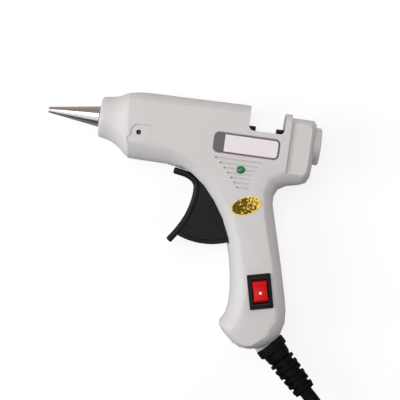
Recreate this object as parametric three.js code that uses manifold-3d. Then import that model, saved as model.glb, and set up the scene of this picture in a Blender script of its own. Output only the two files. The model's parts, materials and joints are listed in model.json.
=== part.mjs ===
// A small trigger-fed hot glue gun with its mains cord coiled beside it, in millimetres.
// It lies on its right side. +X runs from the nozzle to the glue stick's inlet, +Y from the
// grip to the top of the barrel, and +Z from the right half shell up to the left one.
// While it is built, x = 0 is the collar's front face and y = 0 the feed axis.

import * as THREE from "three";
import { mergeVertices } from "three/addons/utils/BufferGeometryUtils.js";
import Module from "manifold-3d";

const wasm = await Module();
wasm.setup();

// Clearances
const gap = 0.3;
const slideGap = 0.35;
const partingGap = 0.2;
const overrun = 1;
const weld = 1e-4;

// Housing
const housingLength = 104.3;
const gripDrop = 98.6;
const topHeight = 14.8;
const thickness = 26;
const wall = 2;
const mid = thickness / 2;

// Collar round the nozzle
const collarRadius = 9.5;
const collarFrontWall = 1.6;
const collarEdge = 0.5;

// Nozzle, heating chamber and silicone sleeve
const boreRadius = 3.9;
const nozzleReach = 24.8;
const nozzleTipRadius = 1.1;
const nozzleRootRadius = 4.2;
const nozzleConeRadius = 3.9;
const nozzleSeatLength = 2.9;
const nozzleSeatOut = 1.3;
const nozzleShankLength = 6;
const nozzleMouthRadius = 0.7;
const nozzleBoreRadius = 2.4;
const ringLength = 3;
const chamberStart = 5.2;
const chamberRadius = 6;
const chamberNeckRadius = 4.9;
const spigotRadius = 4.9;
const spigotLength = 4;
const sleeveWall = 1.4;
const sleeveReach = 8.95;
const sleeveShow = 3.05;
const clampWire = 1;

// Heater stack in the pocket under the chamber
const heaterWidth = 10;
const heaterThickness = 2.2;
const electrodeThickness = 0.5;
const electrodeTab = 1.5;
const filmThickness = 0.3;
const pocketWall = 1.4;
const pocketStartShare = 0.266;

// Sight notch in the barrel's top, and what shows in it
const notchFrontShare = 0.668;
const notchRearShare = 0.83;
const notchFloor = 2.75;
const notchFillet = 2.4;
const notchTopFillet = 1;
const notchTopShare = 0.994;
const tailShow = 3.5;
const guideShow = 3.6;
const tubeRadius = 5.6;
const cradleWall = 1.6;

// Rear block, its rim and the inlet boss
const blockStartShare = 0.857;
const blockRecess = 1.2;
const recessLowShare = 0.15;
const bossRadius = 8.8;
const bossLength = 2.7;
const bossEdge = 0.6;
const guideFlangeRadius = 6.9;
const guideFlangeLength = 1.4;
const inletMouthRadius = 4.8;

// Trigger, its fork and its hinge pin
const pivotXShare = 0.534;
const pivotYShare = 0.1978;
const forkSwing = 12;
const triggerReach = 33;
const triggerWidth = 15.6;
const cheekThickness = 1.8;
const rimRaise = 0.5;
const rimBand = 2;
const ridgeThickness = 3;
const ridgeEdge = 1.1;
const hubRadius = 4.2;
const pinRadius = 1.9;
const pinBossRadius = 3.6;
const eyeRadius = 3.1;
const armWidth = 5.2;
const slotFrom = -182.5;
const slotTo = -50;
const cheekArcFrom = -113;
const cheekArcTo = -64;
const rimArcFrom = -111;
const cheekFromShare = 0.16;
const cheekToShare = 0.8;

// Carriage, gripper and return spring
const sidePinRadius = 1.4;
const sidePinReach = 9.6;
const railThickness = 1.2;
const carriageNose = 6;
const gripperLength = 5.2;
const gripperHeight = 4.4;
const gripperThickness = 2.6;
const gripperPinRadius = 0.8;
const gripperPinHeight = 6.3;
const gripperPinBack = 2;
const gripperCaseWall = 1.5;
const springRadius = 2.2;
const springWire = 0.35;
const springTurns = 8;
const springDrop = 9.8;
const lugWidth = 4.8;
const lugLength = 3.2;

// Ribs across the shells
const ribThickness = 1.5;
const ribDropShare = 0.2;

// Rocker switch
const switchXShare = 0.817;
const switchYShare = 0.717;
const switchTilt = 13.3;
const bezelLength = 16.3;
const bezelWidth = 11;
const bezelHeight = 2;
const bezelRim = 0.5;
const bezelBevel = 1.3;
const switchBodyLength = 13.4;
const switchBodyWidth = 8.8;
const switchDepth = 10;
const rockerLength = 10.2;
const rockerWidth = 6.7;
const rockerSwing = 8;
const rockerPivotDepth = 1.6;
const rockerCrown = 1.1;
const rockerValley = 0.5;
const rockerBelly = 1.8;
const terminalLength = 5.5;
const terminalWidth = 3.2;
const terminalThickness = 0.8;

// Indicator lamp
const lampXShare = 0.659;
const lampYShare = 0.163;
const lampRadius = 1.5;
const lampFlangeRadius = 1.9;
const lampFlangeLength = 0.9;
const lampLength = 5.3;
const lampProud = 1;
const lampRingRadius = 2.2;
const lampRingDepth = 0.35;
const boardRadius = 4;
const boardThickness = 1.2;

// Rating plate, foil patch and grooves on the left side
const plateXShare = 0.669;
const plateDrop = 4.65;
const plateLength = 30.4;
const plateHeight = 9.3;
const plateCorner = 2.3;
const plateThickness = 0.25;
const platePocket = 0.6;
const foilXShare = 0.703;
const foilYShare = 0.3276;
const foilLength = 14.4;
const foilHeight = 8.2;
const foilTilt = 23;
const foilThickness = 0.2;
const grooveWidth = 0.7;
const grooveDepth = 0.4;
const groovePitch = 2.08;
const grooveTop = 11.85;
const groovePitRadius = 0.45;
const groovePitDepth = 0.9;

// Wire-stand hole and the shallow recess round it
const standXShare = 0.185;
const standYShare = 0.053;
const standHoleRadius = 1.1;
const standRecessRadius = 3.8;
const standRecessDepth = 0.4;
const standSlotWidth = 2.4;
const standSlotLength = 7;

// Housing screws, driven from the right side
const screwHeadRadius = 2.3;
const screwHeadHeight = 1.6;
const screwFaceShare = 0.8;
const slotLengthShare = 1.2;
const slotWidthShare = 0.3;
const screwRadius = 1.25;
const screwLength = 12;
const screwBossWall = 1.4;
const screwSink = 5;

// Cord gland, strain relief and clamp
const glandXShare = 0.8926;
const glandYShare = 0.9635;
const glandAngle = -44.5;
const glandRadius = 6.8;
const glandLength = 7;
const glandBore = 4.9;
const reliefLength = 28.5;
const reliefFlangeRadius = 7.05;
const reliefFlangeLength = 3;
const reliefNeckRadius = 6.1;
const reliefNeckLength = 6;
const reliefRibRadius = 5.9;
const reliefValleyRadius = 4.9;
const reliefTipRadius = 4.9;
const reliefRibs = 6;
const reliefGrooveShare = 0.6;
const reliefEdgeShare = 0.08;
const reliefHeadRadius = 5.6;
const reliefHeadLength = 1.5;
const clampWidth = 3.4;
const clampWall = 0.5;
const clampFoot = 2.4;
const clampScrewRadius = 1;
const clampHeadRadius = 1.8;
const clampScrewLength = 8;

// Cord, its coil, its tie and its plug
const cordRadius = 3.25;
const jacketLength = 9;
const leadRadius = 0.65;
const channelDropShare = 0.08;
const spliceRadius = 2.2;
const spliceTop = 1.76;
const spliceLength = 8;
const spliceXShare = 0.775;
const spliceYShare = 0.77;
const coilX = 101;
const coilY = -173;
const coilOuterRadius = 43.5;
const coilPitch = 7;
const coilWholeTurns = 6;
const coilClimbTurns = 0.5;
const coilEntry = 20;
const coilExit = -90;
const tieWidth = 8;
const tieThickness = 0.6;
const tieAngle = -150;
const plugLength = 24;
const plugWidth = 23;
const plugHeight = 14;
const plugTailLength = 14;
const bladeLength = 17;
const bladeWidth = 6.35;
const bladeThickness = 1.5;
const bladeSpacing = 12.7;
const bladeHoleRadius = 1.6;
const bladeHoleBack = 4.5;

// Facets
const fineSides = 24;
const roundSides = 20;
const smallSides = 10;
const reliefSides = 12;
const leadSides = 5;
const cordSides = 8;
const pitSides = 6;
const arcSteps = 4;
const ridgeSteps = 14;
const cheekSteps = 8;
const coilSides = 6;

// Materials
const paint = (color, roughness, metalness = 0) =>
  new THREE.MeshStandardMaterial({ color, roughness, metalness });
const shellGrey = paint("#cfcbc9", 0.55);
const blackNylon = paint("#1b1a1c", 0.45);
const aluminium = paint("#b9b4b2", 0.3, 1);
const steel = paint("#9a9b9d", 0.35, 1);
const brass = paint("#b8974a", 0.35, 1);
const ceramic = paint("#e6e1d6", 0.8);
const amberFilm = paint("#b5702a", 0.4);
const silicone = paint("#a8482f", 0.6);
const switchRed = paint("#d0151c", 0.3);
const greenLens = paint("#0a7a35", 0.2);
const boardGreen = paint("#2f6b45", 0.5);
const wireWhite = paint("#e2e0da", 0.5);
const cordBlack = paint("#161616", 0.6);
const plateWhite = paint("#eae2e6", 0.5);
const foilGold = paint("#b8912f", 0.3, 1);

// Places that several pieces share
const radians = THREE.MathUtils.degToRad;
const acrossX = (share) => share * housingLength;
const pivotX = acrossX(pivotXShare);
const pivotY = -pivotYShare * gripDrop;
const travel = 2 * -pivotY * Math.tan(radians(forkSwing));
const sidePinX = pivotX + travel / 2;
const notchFront = acrossX(notchFrontShare);
const notchRear = acrossX(notchRearShare);
const tailEnd = notchFront + tailShow;
const noseX = sidePinX - carriageNose;
const sleeveEnd = noseX - travel - 2 * gap;
const chamberEnd = sleeveEnd - sleeveReach;
const frontRibStart = chamberEnd - spigotLength - ribThickness;
const springRibStart = sleeveEnd - sleeveShow - ribThickness;
const pocketStart = THREE.MathUtils.lerp(chamberStart, chamberEnd, pocketStartShare);
const tabRoom = overrun + electrodeTab + 2 * leadRadius + gap;
const heaterLength = frontRibStart - tabRoom - pocketStart;
const sleeveRadius = spigotRadius + gap + sleeveWall;
const armInside = triggerWidth / 2 - cheekThickness;
const blockStart = acrossX(blockStartShare);
const lampX = acrossX(lampXShare);
const lampY = -lampYShare * gripDrop;
const switchX = acrossX(switchXShare);
const switchY = -switchYShare * gripDrop;
const glandX = acrossX(glandXShare);
const glandY = -glandYShare * gripDrop;
const stackHeight = heaterThickness + 2 * electrodeThickness + 2 * filmThickness + 6 * gap;
const pocketTop = -boreRadius - pocketWall;
const pocketFloor = pocketTop - stackHeight;
const tailRibEnd = tailEnd - travel;
const guideFlangeX = blockStart + wall - guideFlangeLength / 2;
const headFrom = -glandLength + wall;
const clampX = -glandLength - clampWidth;
const clampScrewAway = cordRadius + clampWall + clampHeadRadius + 2 * gap;
const clampSpan = clampScrewAway + clampScrewRadius + gap + clampWall;
const standX = acrossX(standXShare);
const standY = -standYShare * gripDrop;
const channelAway = mid - wall - 2 * gap - leadRadius;
const cradleReach = tubeRadius + slideGap + cradleWall;

// Closed meshes to solids and back
function solid(geometry) {
  const bare = new THREE.BufferGeometry();
  bare.setAttribute("position", geometry.getAttribute("position"));
  if (geometry.index) bare.setIndex(geometry.index);
  const merged = mergeVertices(bare, weld);
  return new wasm.Manifold(
    new wasm.Mesh({
      numProp: 3,
      vertProperties: merged.getAttribute("position").array,
      triVerts: new Uint32Array(merged.index.array),
    }),
  );
}

function geometryOf(body) {
  const { vertProperties, triVerts } = body.getMesh();
  const geometry = new THREE.BufferGeometry();
  geometry.setAttribute("position", new THREE.BufferAttribute(new Float32Array(vertProperties), 3));
  geometry.setIndex(new THREE.BufferAttribute(new Uint32Array(triVerts), 1));
  geometry.computeVertexNormals();
  return geometry;
}

const joined = (first, ...rest) => rest.reduce((sum, body) => sum.add(body), first);
const cut = (first, ...tools) => tools.reduce((rest, tool) => rest.subtract(tool), first);

// Plain shapes, each placed by its own limits
function blockShape(x0, x1, y0, y1, z0, z1) {
  const geometry = new THREE.BoxGeometry(x1 - x0, y1 - y0, z1 - z0);
  return geometry.translate((x0 + x1) / 2, (y0 + y1) / 2, (z0 + z1) / 2);
}

const block = (...limits) => solid(blockShape(...limits));

// The same block on both sides of the middle plane, between two distances from it
function blockPair(x0, x1, y0, y1, near, far) {
  return joined(
    block(x0, x1, y0, y1, mid + near, mid + far),
    block(x0, x1, y0, y1, mid - far, mid - near),
  );
}

function barZ(radius, x, y, z0, z1, sides = roundSides) {
  const geometry = new THREE.CylinderGeometry(radius, radius, z1 - z0, sides);
  return solid(geometry.rotateX(Math.PI / 2).translate(x, y, (z0 + z1) / 2));
}

function barX(radius, x0, x1, y = 0, z = mid, sides = roundSides) {
  const geometry = new THREE.CylinderGeometry(radius, radius, x1 - x0, sides);
  return solid(geometry.rotateZ(-Math.PI / 2).translate((x0 + x1) / 2, y, z));
}

function extruded(shape, z0, z1) {
  const options = { depth: z1 - z0, bevelEnabled: false, curveSegments: arcSteps };
  return new THREE.ExtrudeGeometry(shape, options).translate(0, 0, z0);
}

// A revolved profile of [along, radius] points, turned to lie along X
function turned(profile, sides = roundSides) {
  const points = profile.map(([along, radius]) => new THREE.Vector2(radius, along));
  return new THREE.LatheGeometry(points, sides).rotateZ(-Math.PI / 2);
}

function roundedRectangle(length, height, corner) {
  const shape = new THREE.Shape();
  const right = length / 2 - corner;
  const top = height / 2 - corner;
  shape.absarc(right, top, corner, 0, Math.PI / 2);
  shape.absarc(-right, top, corner, Math.PI / 2, Math.PI);
  shape.absarc(-right, -top, corner, Math.PI, 1.5 * Math.PI);
  shape.absarc(right, -top, corner, 1.5 * Math.PI, 2 * Math.PI);
  return shape;
}

function polygon(points) {
  return new THREE.Shape(points.map(([x, y]) => new THREE.Vector2(x, y)));
}

// A closed skin through rings of equally many points, filled at both ends
function loft(rings, flatten) {
  const count = rings[0].length;
  const index = [];
  for (let ring = 0; ring + 1 < rings.length; ring++) {
    for (let i = 0; i < count; i++) {
      const a = ring * count + i;
      const b = ring * count + ((i + 1) % count);
      index.push(a, b, a + count, b, b + count, a + count);
    }
  }
  const last = (rings.length - 1) * count;
  for (const [a, b, c] of THREE.ShapeUtils.triangulateShape(rings[0].map(flatten), [])) {
    index.push(a, c, b);
  }
  for (const [a, b, c] of THREE.ShapeUtils.triangulateShape(rings.at(-1).map(flatten), [])) {
    index.push(last + a, last + b, last + c);
  }
  const geometry = new THREE.BufferGeometry().setFromPoints(rings.flat());
  return geometry.setIndex(index);
}

function tube(points, radius, sides, steps, closed = false) {
  const path = new THREE.CatmullRomCurve3(points, closed, "centripetal");
  return tubeAlong(path, radius, sides, steps);
}

function tubeAlong(path, radius, sides, steps) {
  const section = new THREE.Shape();
  for (let i = 0; i < sides; i++) {
    const angle = (i / sides) * 2 * Math.PI;
    const point = [radius * Math.cos(angle), radius * Math.sin(angle)];
    if (i === 0) section.moveTo(...point);
    else section.lineTo(...point);
  }
  return new THREE.ExtrudeGeometry(section, { steps, extrudePath: path, bevelEnabled: false });
}

// Shoulder of the housing, from the parting plane to the flat side:
// share of the way in from the outline, and share of the half thickness
const shoulderShares = [
  [0, 0],
  [0, 0.3],
  [0.05, 0.5],
  [0.18, 0.68],
  [0.42, 0.83],
  [0.72, 0.93],
  [1, 1],
];

// The outside leaves out the first row, and the hollow has three of them
const outerShares = shoulderShares.slice(1);
const hollowShares = [shoulderShares.at(1), shoulderShares.at(3), shoulderShares.at(-1)];

// Side view of the housing, anticlockwise from the barrel's underside at the crease: the
// outline's x and y, then those of the flat side's edge. x is a share of the length, and y
// one of the grip's drop below the axis or of the top height above it.
const bodyShares = [
  [0.149, -0.177, 0.141, -0.106],
  [0.23, -0.178, 0.24, -0.098],
  [0.321, -0.179, 0.34, -0.103],
  [0.388, -0.19, 0.42, -0.131],
  [0.441, -0.217, 0.479, -0.17],
  [0.499, -0.264, 0.545, -0.226],
  [0.551, -0.327, 0.603, -0.29],
  [0.599, -0.404, 0.656, -0.375],
  [0.637, -0.491, 0.698, -0.475],
  [0.661, -0.578, 0.725, -0.572],
  [0.676, -0.659, 0.743, -0.659],
  [0.6855, -0.74, 0.7565, -0.74],
  [0.6865, -0.801, 0.7575, -0.801],
  [0.677, -0.852, 0.745, -0.858],
  [0.6585, -0.8845, 0.722, -0.902],
  [0.6595, -0.909, 0.7145, -0.918],
  [0.6855, -0.94, 0.7215, -0.9355],
  [0.7287, -0.98, 0.748, -0.9655],
  [0.7622, -0.996, 0.775, -0.9795],
  [0.8054, -0.999, 0.808, -0.977],
  [0.8581, -0.988, 0.836, -0.955],
  [0.906, -0.953, 0.863, -0.922],
  [0.9367, -0.908, 0.884, -0.888],
  [0.95, -0.852, 0.8985, -0.847],
  [0.947, -0.796, 0.9, -0.791],
  [0.932, -0.725, 0.889, -0.72],
  [0.911, -0.639, 0.869, -0.635],
  [0.889, -0.551, 0.8455, -0.551],
  [0.865, -0.4615, 0.8205, -0.4665],
  [0.842, -0.375, 0.796, -0.385],
  [0.8235, -0.304, 0.773, -0.309],
  [0.8215, -0.264, 0.763, -0.248],
  [0.837, -0.229, 0.781, -0.1785],
  [0.8725, -0.207, 0.844, -0.138],
  [0.93, -0.193, 0.911, -0.13],
  [0.956, -0.1805, 0.93, -0.1258],
  [0.9703, -0.15, 0.9357, -0.1136],
  [0.9741, -0.101, 0.9387, -0.081],
];
const rearShares = [
  [0.9741, 0.44, 0.9387, 0.34],
  [0.9703, 0.676, 0.9338, 0.473],
  [0.957, 0.784, 0.92, 0.514],
  [0.857, 0.784, 0.857, 0.514],
  [0.857, 0.885, 0.857, 0.608],
  [0.796, 0.885, 0.796, 0.608],
  [0.748, 1, 0.748, 0.716],
  [0.575, 0.986, 0.575, 0.703],
  [0.384, 0.966, 0.384, 0.682],
  [0.211, 0.953, 0.211, 0.669],
  [0.158, 0.926, 0.163, 0.635],
  [0.12, 0.865, 0.124, 0.581],
];

const place = ([x, y]) =>
  new THREE.Vector3(x * housingLength, y * (y > 0 ? topHeight : gripDrop), 0);

// The outline (column 0) or the flat side's edge (column 2), with every nth row round the grip
function sidePoints(column, every) {
  const rows = [...bodyShares.filter((row, i) => i % every === 0), ...rearShares];
  return rows.map((row) => place(row.slice(column, column + 2)));
}

// A closed outline moved in by a distance, its corners kept sharp
function movedIn(points, distance) {
  const heading = (from, to) => to.clone().sub(from).normalize();
  return points.map((point, i) => {
    const before = heading(points.at(i - 1), point);
    const after = heading(point, points[(i + 1) % points.length]);
    const reach = distance / (1 + before.dot(after));
    const x = point.x - (before.y + after.y) * reach;
    const y = point.y + (before.x + after.x) * reach;
    return new THREE.Vector3(x, y, 0);
  });
}

// Barrel and grip: rings from the right side's flat to the left side's flat
function bodyLoft(inset, levels, every) {
  const outline = movedIn(sidePoints(0, every), inset);
  const flat = movedIn(sidePoints(2, every), inset / 2);
  const half = mid - inset;
  const below = levels.toReversed().map(([inward, out]) => [inward, -out]);
  const rings = [...below, ...levels].map(([inward, out]) =>
    outline.map((point, i) => {
      const moved = point.clone().lerp(flat[i], inward);
      return moved.setZ(mid + out * half);
    }),
  );
  return solid(loft(rings, (point) => new THREE.Vector2(point.x, point.y)));
}

// Flare from the round collar to the barrel's section at the crease. Each row holds x at the top
// and at the bottom as shares of the length, then how far the top, the bottom and the half
// thickness have come from the collar's radius, and how far the section is from round.
const flareShares = [
  [0.021, 0.021, 0.104, 0.045, 0.097, 0],
  [0.04, 0.044, 0.179, 0.101, 0.146, 0],
  [0.063, 0.073, 0.305, 0.238, 0.294, 0.15],
  [0.0845, 0.1015, 0.516, 0.492, 0.554, 0.4],
  [0.1015, 0.1265, 0.789, 0.802, 0.814, 0.7],
  [0.12, 0.149, 1, 1, 1, 1],
];
const creaseTopShare = 0.865;
const creaseBottomShare = 0.177;
const creaseTopBandShare = 0.33;
const creaseBottomBandShare = 0.4;

function flareRing(xTop, xBottom, top, bottom, half, change) {
  const roundShare = 0.97;
  const last = shoulderShares.length - 1;
  const profile = shoulderShares.map(([inward, out], k) => {
    const angle = (k / last) * (Math.PI / 2);
    return [
      THREE.MathUtils.lerp(1 - Math.cos(angle), inward, change),
      THREE.MathUtils.lerp(Math.sin(angle), out, change),
    ];
  });
  const topBand = top * THREE.MathUtils.lerp(roundShare, creaseTopBandShare, change);
  const bottomBand = bottom * THREE.MathUtils.lerp(roundShare, creaseBottomBandShare, change);
  const at = (y, z) => {
    const x = THREE.MathUtils.mapLinear(y, bottom, top, xBottom, xTop);
    return new THREE.Vector3(x, y, mid + z);
  };
  const upper = profile.map(([inward, out]) => at(top - inward * topBand, out * half));
  const lower = profile.map(([inward, out]) => at(bottom - inward * bottomBand, out * half));
  const left = [...upper, ...lower.toReversed()];
  const right = left.slice(1, -1).toReversed();
  return [...left, ...right.map(({ x, y, z }) => new THREE.Vector3(x, y, thickness - z))];
}

function flareLoft(inset, start, every) {
  const round = (x, radius) => flareRing(x, x, radius, -radius, radius, 0);
  const rings = [round(start, collarRadius - inset - (inset > 0 ? 0 : collarEdge))];
  if (inset === 0) rings.push(round(collarEdge, collarRadius));
  const creaseTop = creaseTopShare * topHeight;
  const creaseBottom = creaseBottomShare * gripDrop;
  const grown = (share, far) => THREE.MathUtils.lerp(collarRadius, far, share) - inset;
  const rows = flareShares.filter((row, i) => i % every === 0 || row === flareShares.at(-1));
  for (const [xTop, xBottom, top, bottom, half, change] of rows) {
    rings.push(
      flareRing(
        acrossX(xTop),
        acrossX(xBottom),
        grown(top, creaseTop),
        -grown(bottom, creaseBottom),
        grown(half, mid),
        change,
      ),
    );
  }
  const [xTop, xBottom] = flareShares.at(-1);
  const buried = gap + inset;
  const deeper = wall * 2;
  rings.push(
    flareRing(
      acrossX(xTop) + deeper,
      acrossX(xBottom) + deeper,
      creaseTop - buried,
      buried - creaseBottom,
      mid - buried,
      1,
    ),
  );
  return solid(loft(rings, (point) => new THREE.Vector2(point.y, point.z)));
}

// Sight notch seen from the side, grown by the walls round it
function notchShape(grow) {
  const left = notchFront - grow;
  const right = notchRear + grow;
  const floor = notchFloor - grow;
  const round = notchFillet + grow;
  const top = topHeight + overrun;
  const shape = new THREE.Shape();
  if (grow > 0) shape.moveTo(left, top);
  else notchTopEdge(shape, left, top);
  shape.lineTo(left, floor + round);
  shape.absarc(left + round, floor + round, round, Math.PI, 1.5 * Math.PI);
  shape.lineTo(right - round, floor);
  shape.absarc(right - round, floor + round, round, 1.5 * Math.PI, 2 * Math.PI);
  shape.lineTo(right, top);
  return shape;
}

// Rounded edge where the notch's front wall meets the barrel's top
function notchTopEdge(shape, x, above) {
  const edge = notchTopFillet;
  const top = notchTopShare * topHeight;
  shape.moveTo(x - edge, above);
  shape.lineTo(x - edge, top);
  shape.absarc(x - edge, top - edge, edge, Math.PI / 2, 0, true);
}

// Pie that the trigger sweeps below its hinge
function triggerSlot() {
  const radius = triggerReach + 2 * slideGap;
  const from = radians(slotFrom);
  const shape = new THREE.Shape();
  shape.moveTo(pivotX, pivotY);
  shape.lineTo(pivotX + radius * Math.cos(from), pivotY + radius * Math.sin(from));
  shape.absarc(pivotX, pivotY, radius, from, radians(slotTo));
  const half = triggerWidth / 2 + slideGap;
  return solid(extruded(shape, mid - half, mid + half));
}

// A place along the cord's exit and across it, from its centre on the gland's face
function glandVector(along, across) {
  const away = new THREE.Vector3(along, across, 0);
  away.applyAxisAngle(new THREE.Vector3(0, 0, 1), radians(glandAngle));
  return away.add(new THREE.Vector3(glandX, glandY, 0));
}

// Anything built along the cord's exit
function atGland(geometry) {
  return geometry.rotateZ(radians(glandAngle)).translate(glandX, glandY, 0);
}

function glandBar(radius, from, to) {
  const geometry = new THREE.CylinderGeometry(radius, radius, to - from, roundSides);
  geometry.rotateZ(-Math.PI / 2).translate((from + to) / 2, 0, mid);
  return solid(atGland(geometry));
}

// Screws: x share of the length, y share of the top height or of the grip's drop. The first
// lies between the two ribs round the chamber, and one more lies in the toe beside the clamp.
const ribsMiddle = (frontRibStart + ribThickness + springRibStart) / 2;
const screwShares = [
  [ribsMiddle / housingLength, -0.124],
  [0.635, 0.63],
  [0.915, -0.135],
  [0.78, -0.545],
];
const screwBossRadius = screwRadius + gap + screwBossWall;
const toeScrewBack = clampX - clampWidth / 2 - screwBossRadius - 4 * gap;
const screwPlaces = [
  ...screwShares.map((row) => place(row)),
  glandVector(toeScrewBack, -clampSpan - screwRadius),
];

// Ribs, bosses, rails and walls that stay in the hollow
function insideFeatures() {
  const ribLow = -ribDropShare * gripDrop;
  const rib = (start, end, radius) =>
    cut(block(start, end, ribLow, topHeight, 0, thickness), barX(radius, start - overrun, end + overrun));
  const frontRib = rib(frontRibStart, frontRibStart + ribThickness, chamberRadius + gap);
  const springRib = rib(springRibStart, springRibStart + ribThickness, sleeveRadius + gap);
  const tailRib = cut(
    block(tailRibEnd - ribThickness, tailRibEnd, -cradleReach, topHeight, 0, thickness),
    barX(tubeRadius + slideGap, tailRibEnd - 2 * ribThickness, tailRibEnd + overrun),
  );
  const notchWalls = solid(extruded(notchShape(wall), 0, thickness));
  const cradle = block(
    notchFront - wall,
    notchRear + wall,
    -cradleReach,
    notchFloor,
    mid - cradleReach,
    mid + cradleReach,
  );
  const guideRibs = [-1, 1].map((side) => {
    const apart = (guideFlangeLength + ribThickness) / 2 + gap;
    const from = blockStart + wall + side * apart - ribThickness / 2;
    return block(from, from + ribThickness, ribLow, topHeight, 0, thickness);
  });
  const railFrom = sidePinX - travel - 2 * sidePinRadius;
  const railTo = sidePinX + 2 * sidePinRadius;
  const railY = sidePinRadius + slideGap;
  const railZ = triggerWidth / 2 + slideGap;
  const rails = [railY, -railY - railThickness].map((y) =>
    blockPair(railFrom, railTo, y, y + railThickness, railZ, mid),
  );
  const screwBosses = screwPlaces.map(({ x, y }) =>
    barZ(screwBossRadius, x, y, 0, thickness, smallSides),
  );
  const hubClear = triggerWidth / 2 + slideGap;
  const pinBosses = blockPair(
    pivotX - pinBossRadius,
    pivotX + pinBossRadius,
    pivotY - pinBossRadius,
    pivotY + pinBossRadius,
    hubClear,
    mid,
  );
  const seatFrom = clampX - clampWidth / 2;
  const seatShape = blockShape(seatFrom, seatFrom + clampWidth, -clampSpan, clampSpan, 0, mid);
  return joined(
    frontRib,
    springRib,
    tailRib,
    notchWalls,
    cradle,
    ...guideRibs,
    ...rails,
    ...screwBosses,
    pinBosses,
    solid(atGland(seatShape)),
    glandBar(glandRadius, -glandLength, 0),
  );
}

// Both half shells in one, before they are parted
function wholeHousing() {
  const outside = joined(
    bodyLoft(0, outerShares, 1),
    flareLoft(0, 0, 1),
    solid(
      turned(
        [
          [notchRear + wall, 0],
          [notchRear + wall, bossRadius],
          [housingLength - bossEdge, bossRadius],
          [housingLength, bossRadius - bossEdge],
          [housingLength, 0],
        ],
        fineSides,
      ).translate(0, 0, mid),
    ),
    glandBar(glandRadius, -glandLength, 0),
  );
  const recessLow = -recessLowShare * gripDrop;
  const recessDepth = mid - blockRecess;
  const recessed = blockPair(blockStart, housingLength, recessLow, topHeight, recessDepth, mid + overrun);
  const cavity = joined(bodyLoft(wall, hollowShares, 2), flareLoft(wall, collarFrontWall, 2));
  const hollow = cut(cavity, insideFeatures());
  const guideClear = tubeRadius + gap;
  const stickClear = boreRadius + gap;
  return cut(
    outside,
    recessed,
    hollow,
    solid(extruded(notchShape(0), -overrun, thickness + overrun)),
    triggerSlot(),
    barX(nozzleRootRadius + 2 * gap, -overrun, collarFrontWall + overrun, 0, mid, fineSides),
    barX(stickClear, tailEnd, notchRear - guideShow),
    barX(tubeRadius + slideGap, notchFront - wall - overrun, tailEnd + gap),
    barX(guideClear, notchRear - guideShow - gap, housingLength + overrun, 0, mid, fineSides),
    barX(guideFlangeRadius + gap, guideFlangeX - gap, guideFlangeX + guideFlangeLength + gap),
    barZ(pinRadius + gap, pivotX, pivotY, wall, thickness - wall),
    glandBar(glandBore, -glandLength - overrun, overrun),
    glandBar(cordRadius + gap, clampX - clampWidth, -glandLength),
    glandBar(reliefHeadRadius + gap, headFrom - gap, headFrom + reliefHeadLength + gap),
    ...leadChannels(),
    ...standHoles(),
  );
}

// Ways for the two heater leads through the ribs round the chamber
function leadChannels() {
  const to = springRibStart + ribThickness + gap;
  const y = -channelDropShare * gripDrop;
  return [-1, 1].map((side) =>
    barX(leadRadius + gap, frontRibStart - gap, to, y, mid + side * channelAway, leadSides),
  );
}

// Wire-stand holes through both sides
function standHoles() {
  return [0, thickness].map((z) =>
    barZ(standHoleRadius, standX, standY, z - wall - gap, z + wall + gap, smallSides),
  );
}

// Corners of the channel out of the stand recess, in shares of the recess's radius
const standChannelShares = [
  [-0.2, 0.2],
  [-1.4, -0.8],
  [-1.2, -1.4],
  [0.3, -0.9],
];

// Shallow round recess about the left stand hole, with its slot and its channel
function standRecess() {
  const top = thickness + overrun;
  const floor = thickness - standRecessDepth;
  const half = standSlotWidth / 2;
  const slotY = standY + standRecessRadius - half;
  const slotTo = standX + standSlotLength - half;
  const slot = block(standX, slotTo, slotY - half, slotY + half, floor, top);
  const slotEnd = barZ(half, slotTo, slotY, floor, top, smallSides);
  const corners = standChannelShares.map(([x, y]) => [
    standX + x * standRecessRadius,
    standY + y * standRecessRadius,
  ]);
  const channel = extruded(polygon(corners), floor, top);
  return joined(barZ(standRecessRadius, standX, standY, floor, top), slot, slotEnd, solid(channel));
}

// Grooves under the plate: where each starts and ends, as shares of the length
const grooveShares = [
  [0.542, 0.752],
  [0.565, 0.733],
  [0.585, 0.722],
  [0.605, 0.713],
  [0.622, 0.707],
  [0.638, 0.705],
  [0.652, 0.702],
];

function grooves() {
  return grooveShares.flatMap(([start, end], row) => {
    const y = -grooveTop - row * groovePitch;
    const half = grooveWidth / 2;
    const top = thickness + overrun;
    return [
      block(acrossX(start), acrossX(end), y - half, y + half, thickness - grooveDepth, top),
      barZ(groovePitRadius, acrossX(start), y, thickness - groovePitDepth, top, pitSides),
    ];
  });
}

// Left half shell: openings for the switch and the lamp, and the marks on its side
function leftShell(whole) {
  const half = whole.intersect(
    block(-nozzleReach, housingLength * 2, -gripDrop * 2, gripDrop, mid + partingGap / 2, thickness * 2),
  );
  const switchHole = new THREE.BoxGeometry(
    switchBodyWidth + 2 * gap,
    switchBodyLength + 2 * gap,
    thickness,
  );
  switchHole.rotateZ(radians(switchTilt)).translate(switchX, switchY, thickness);
  const pocketLength = plateLength + 2 * gap;
  const platePocketShape = roundedRectangle(pocketLength, plateHeight + 2 * gap, plateCorner + gap);
  const pocket = extruded(platePocketShape, thickness - platePocket, thickness + overrun);
  pocket.translate(acrossX(plateXShare), -plateDrop, 0);
  const pilots = screwPlaces.map(({ x, y }) =>
    barZ(screwRadius + gap, x, y, mid - overrun, screwSink + screwLength + gap, smallSides),
  );
  return cut(
    half,
    solid(switchHole),
    solid(pocket),
    barZ(lampRadius + gap, lampX, lampY, mid, thickness + overrun, roundSides),
    barZ(lampRingRadius, lampX, lampY, thickness - lampRingDepth, thickness + overrun, roundSides),
    standRecess(),
    ...grooves(),
    ...pilots,
  );
}

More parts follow.
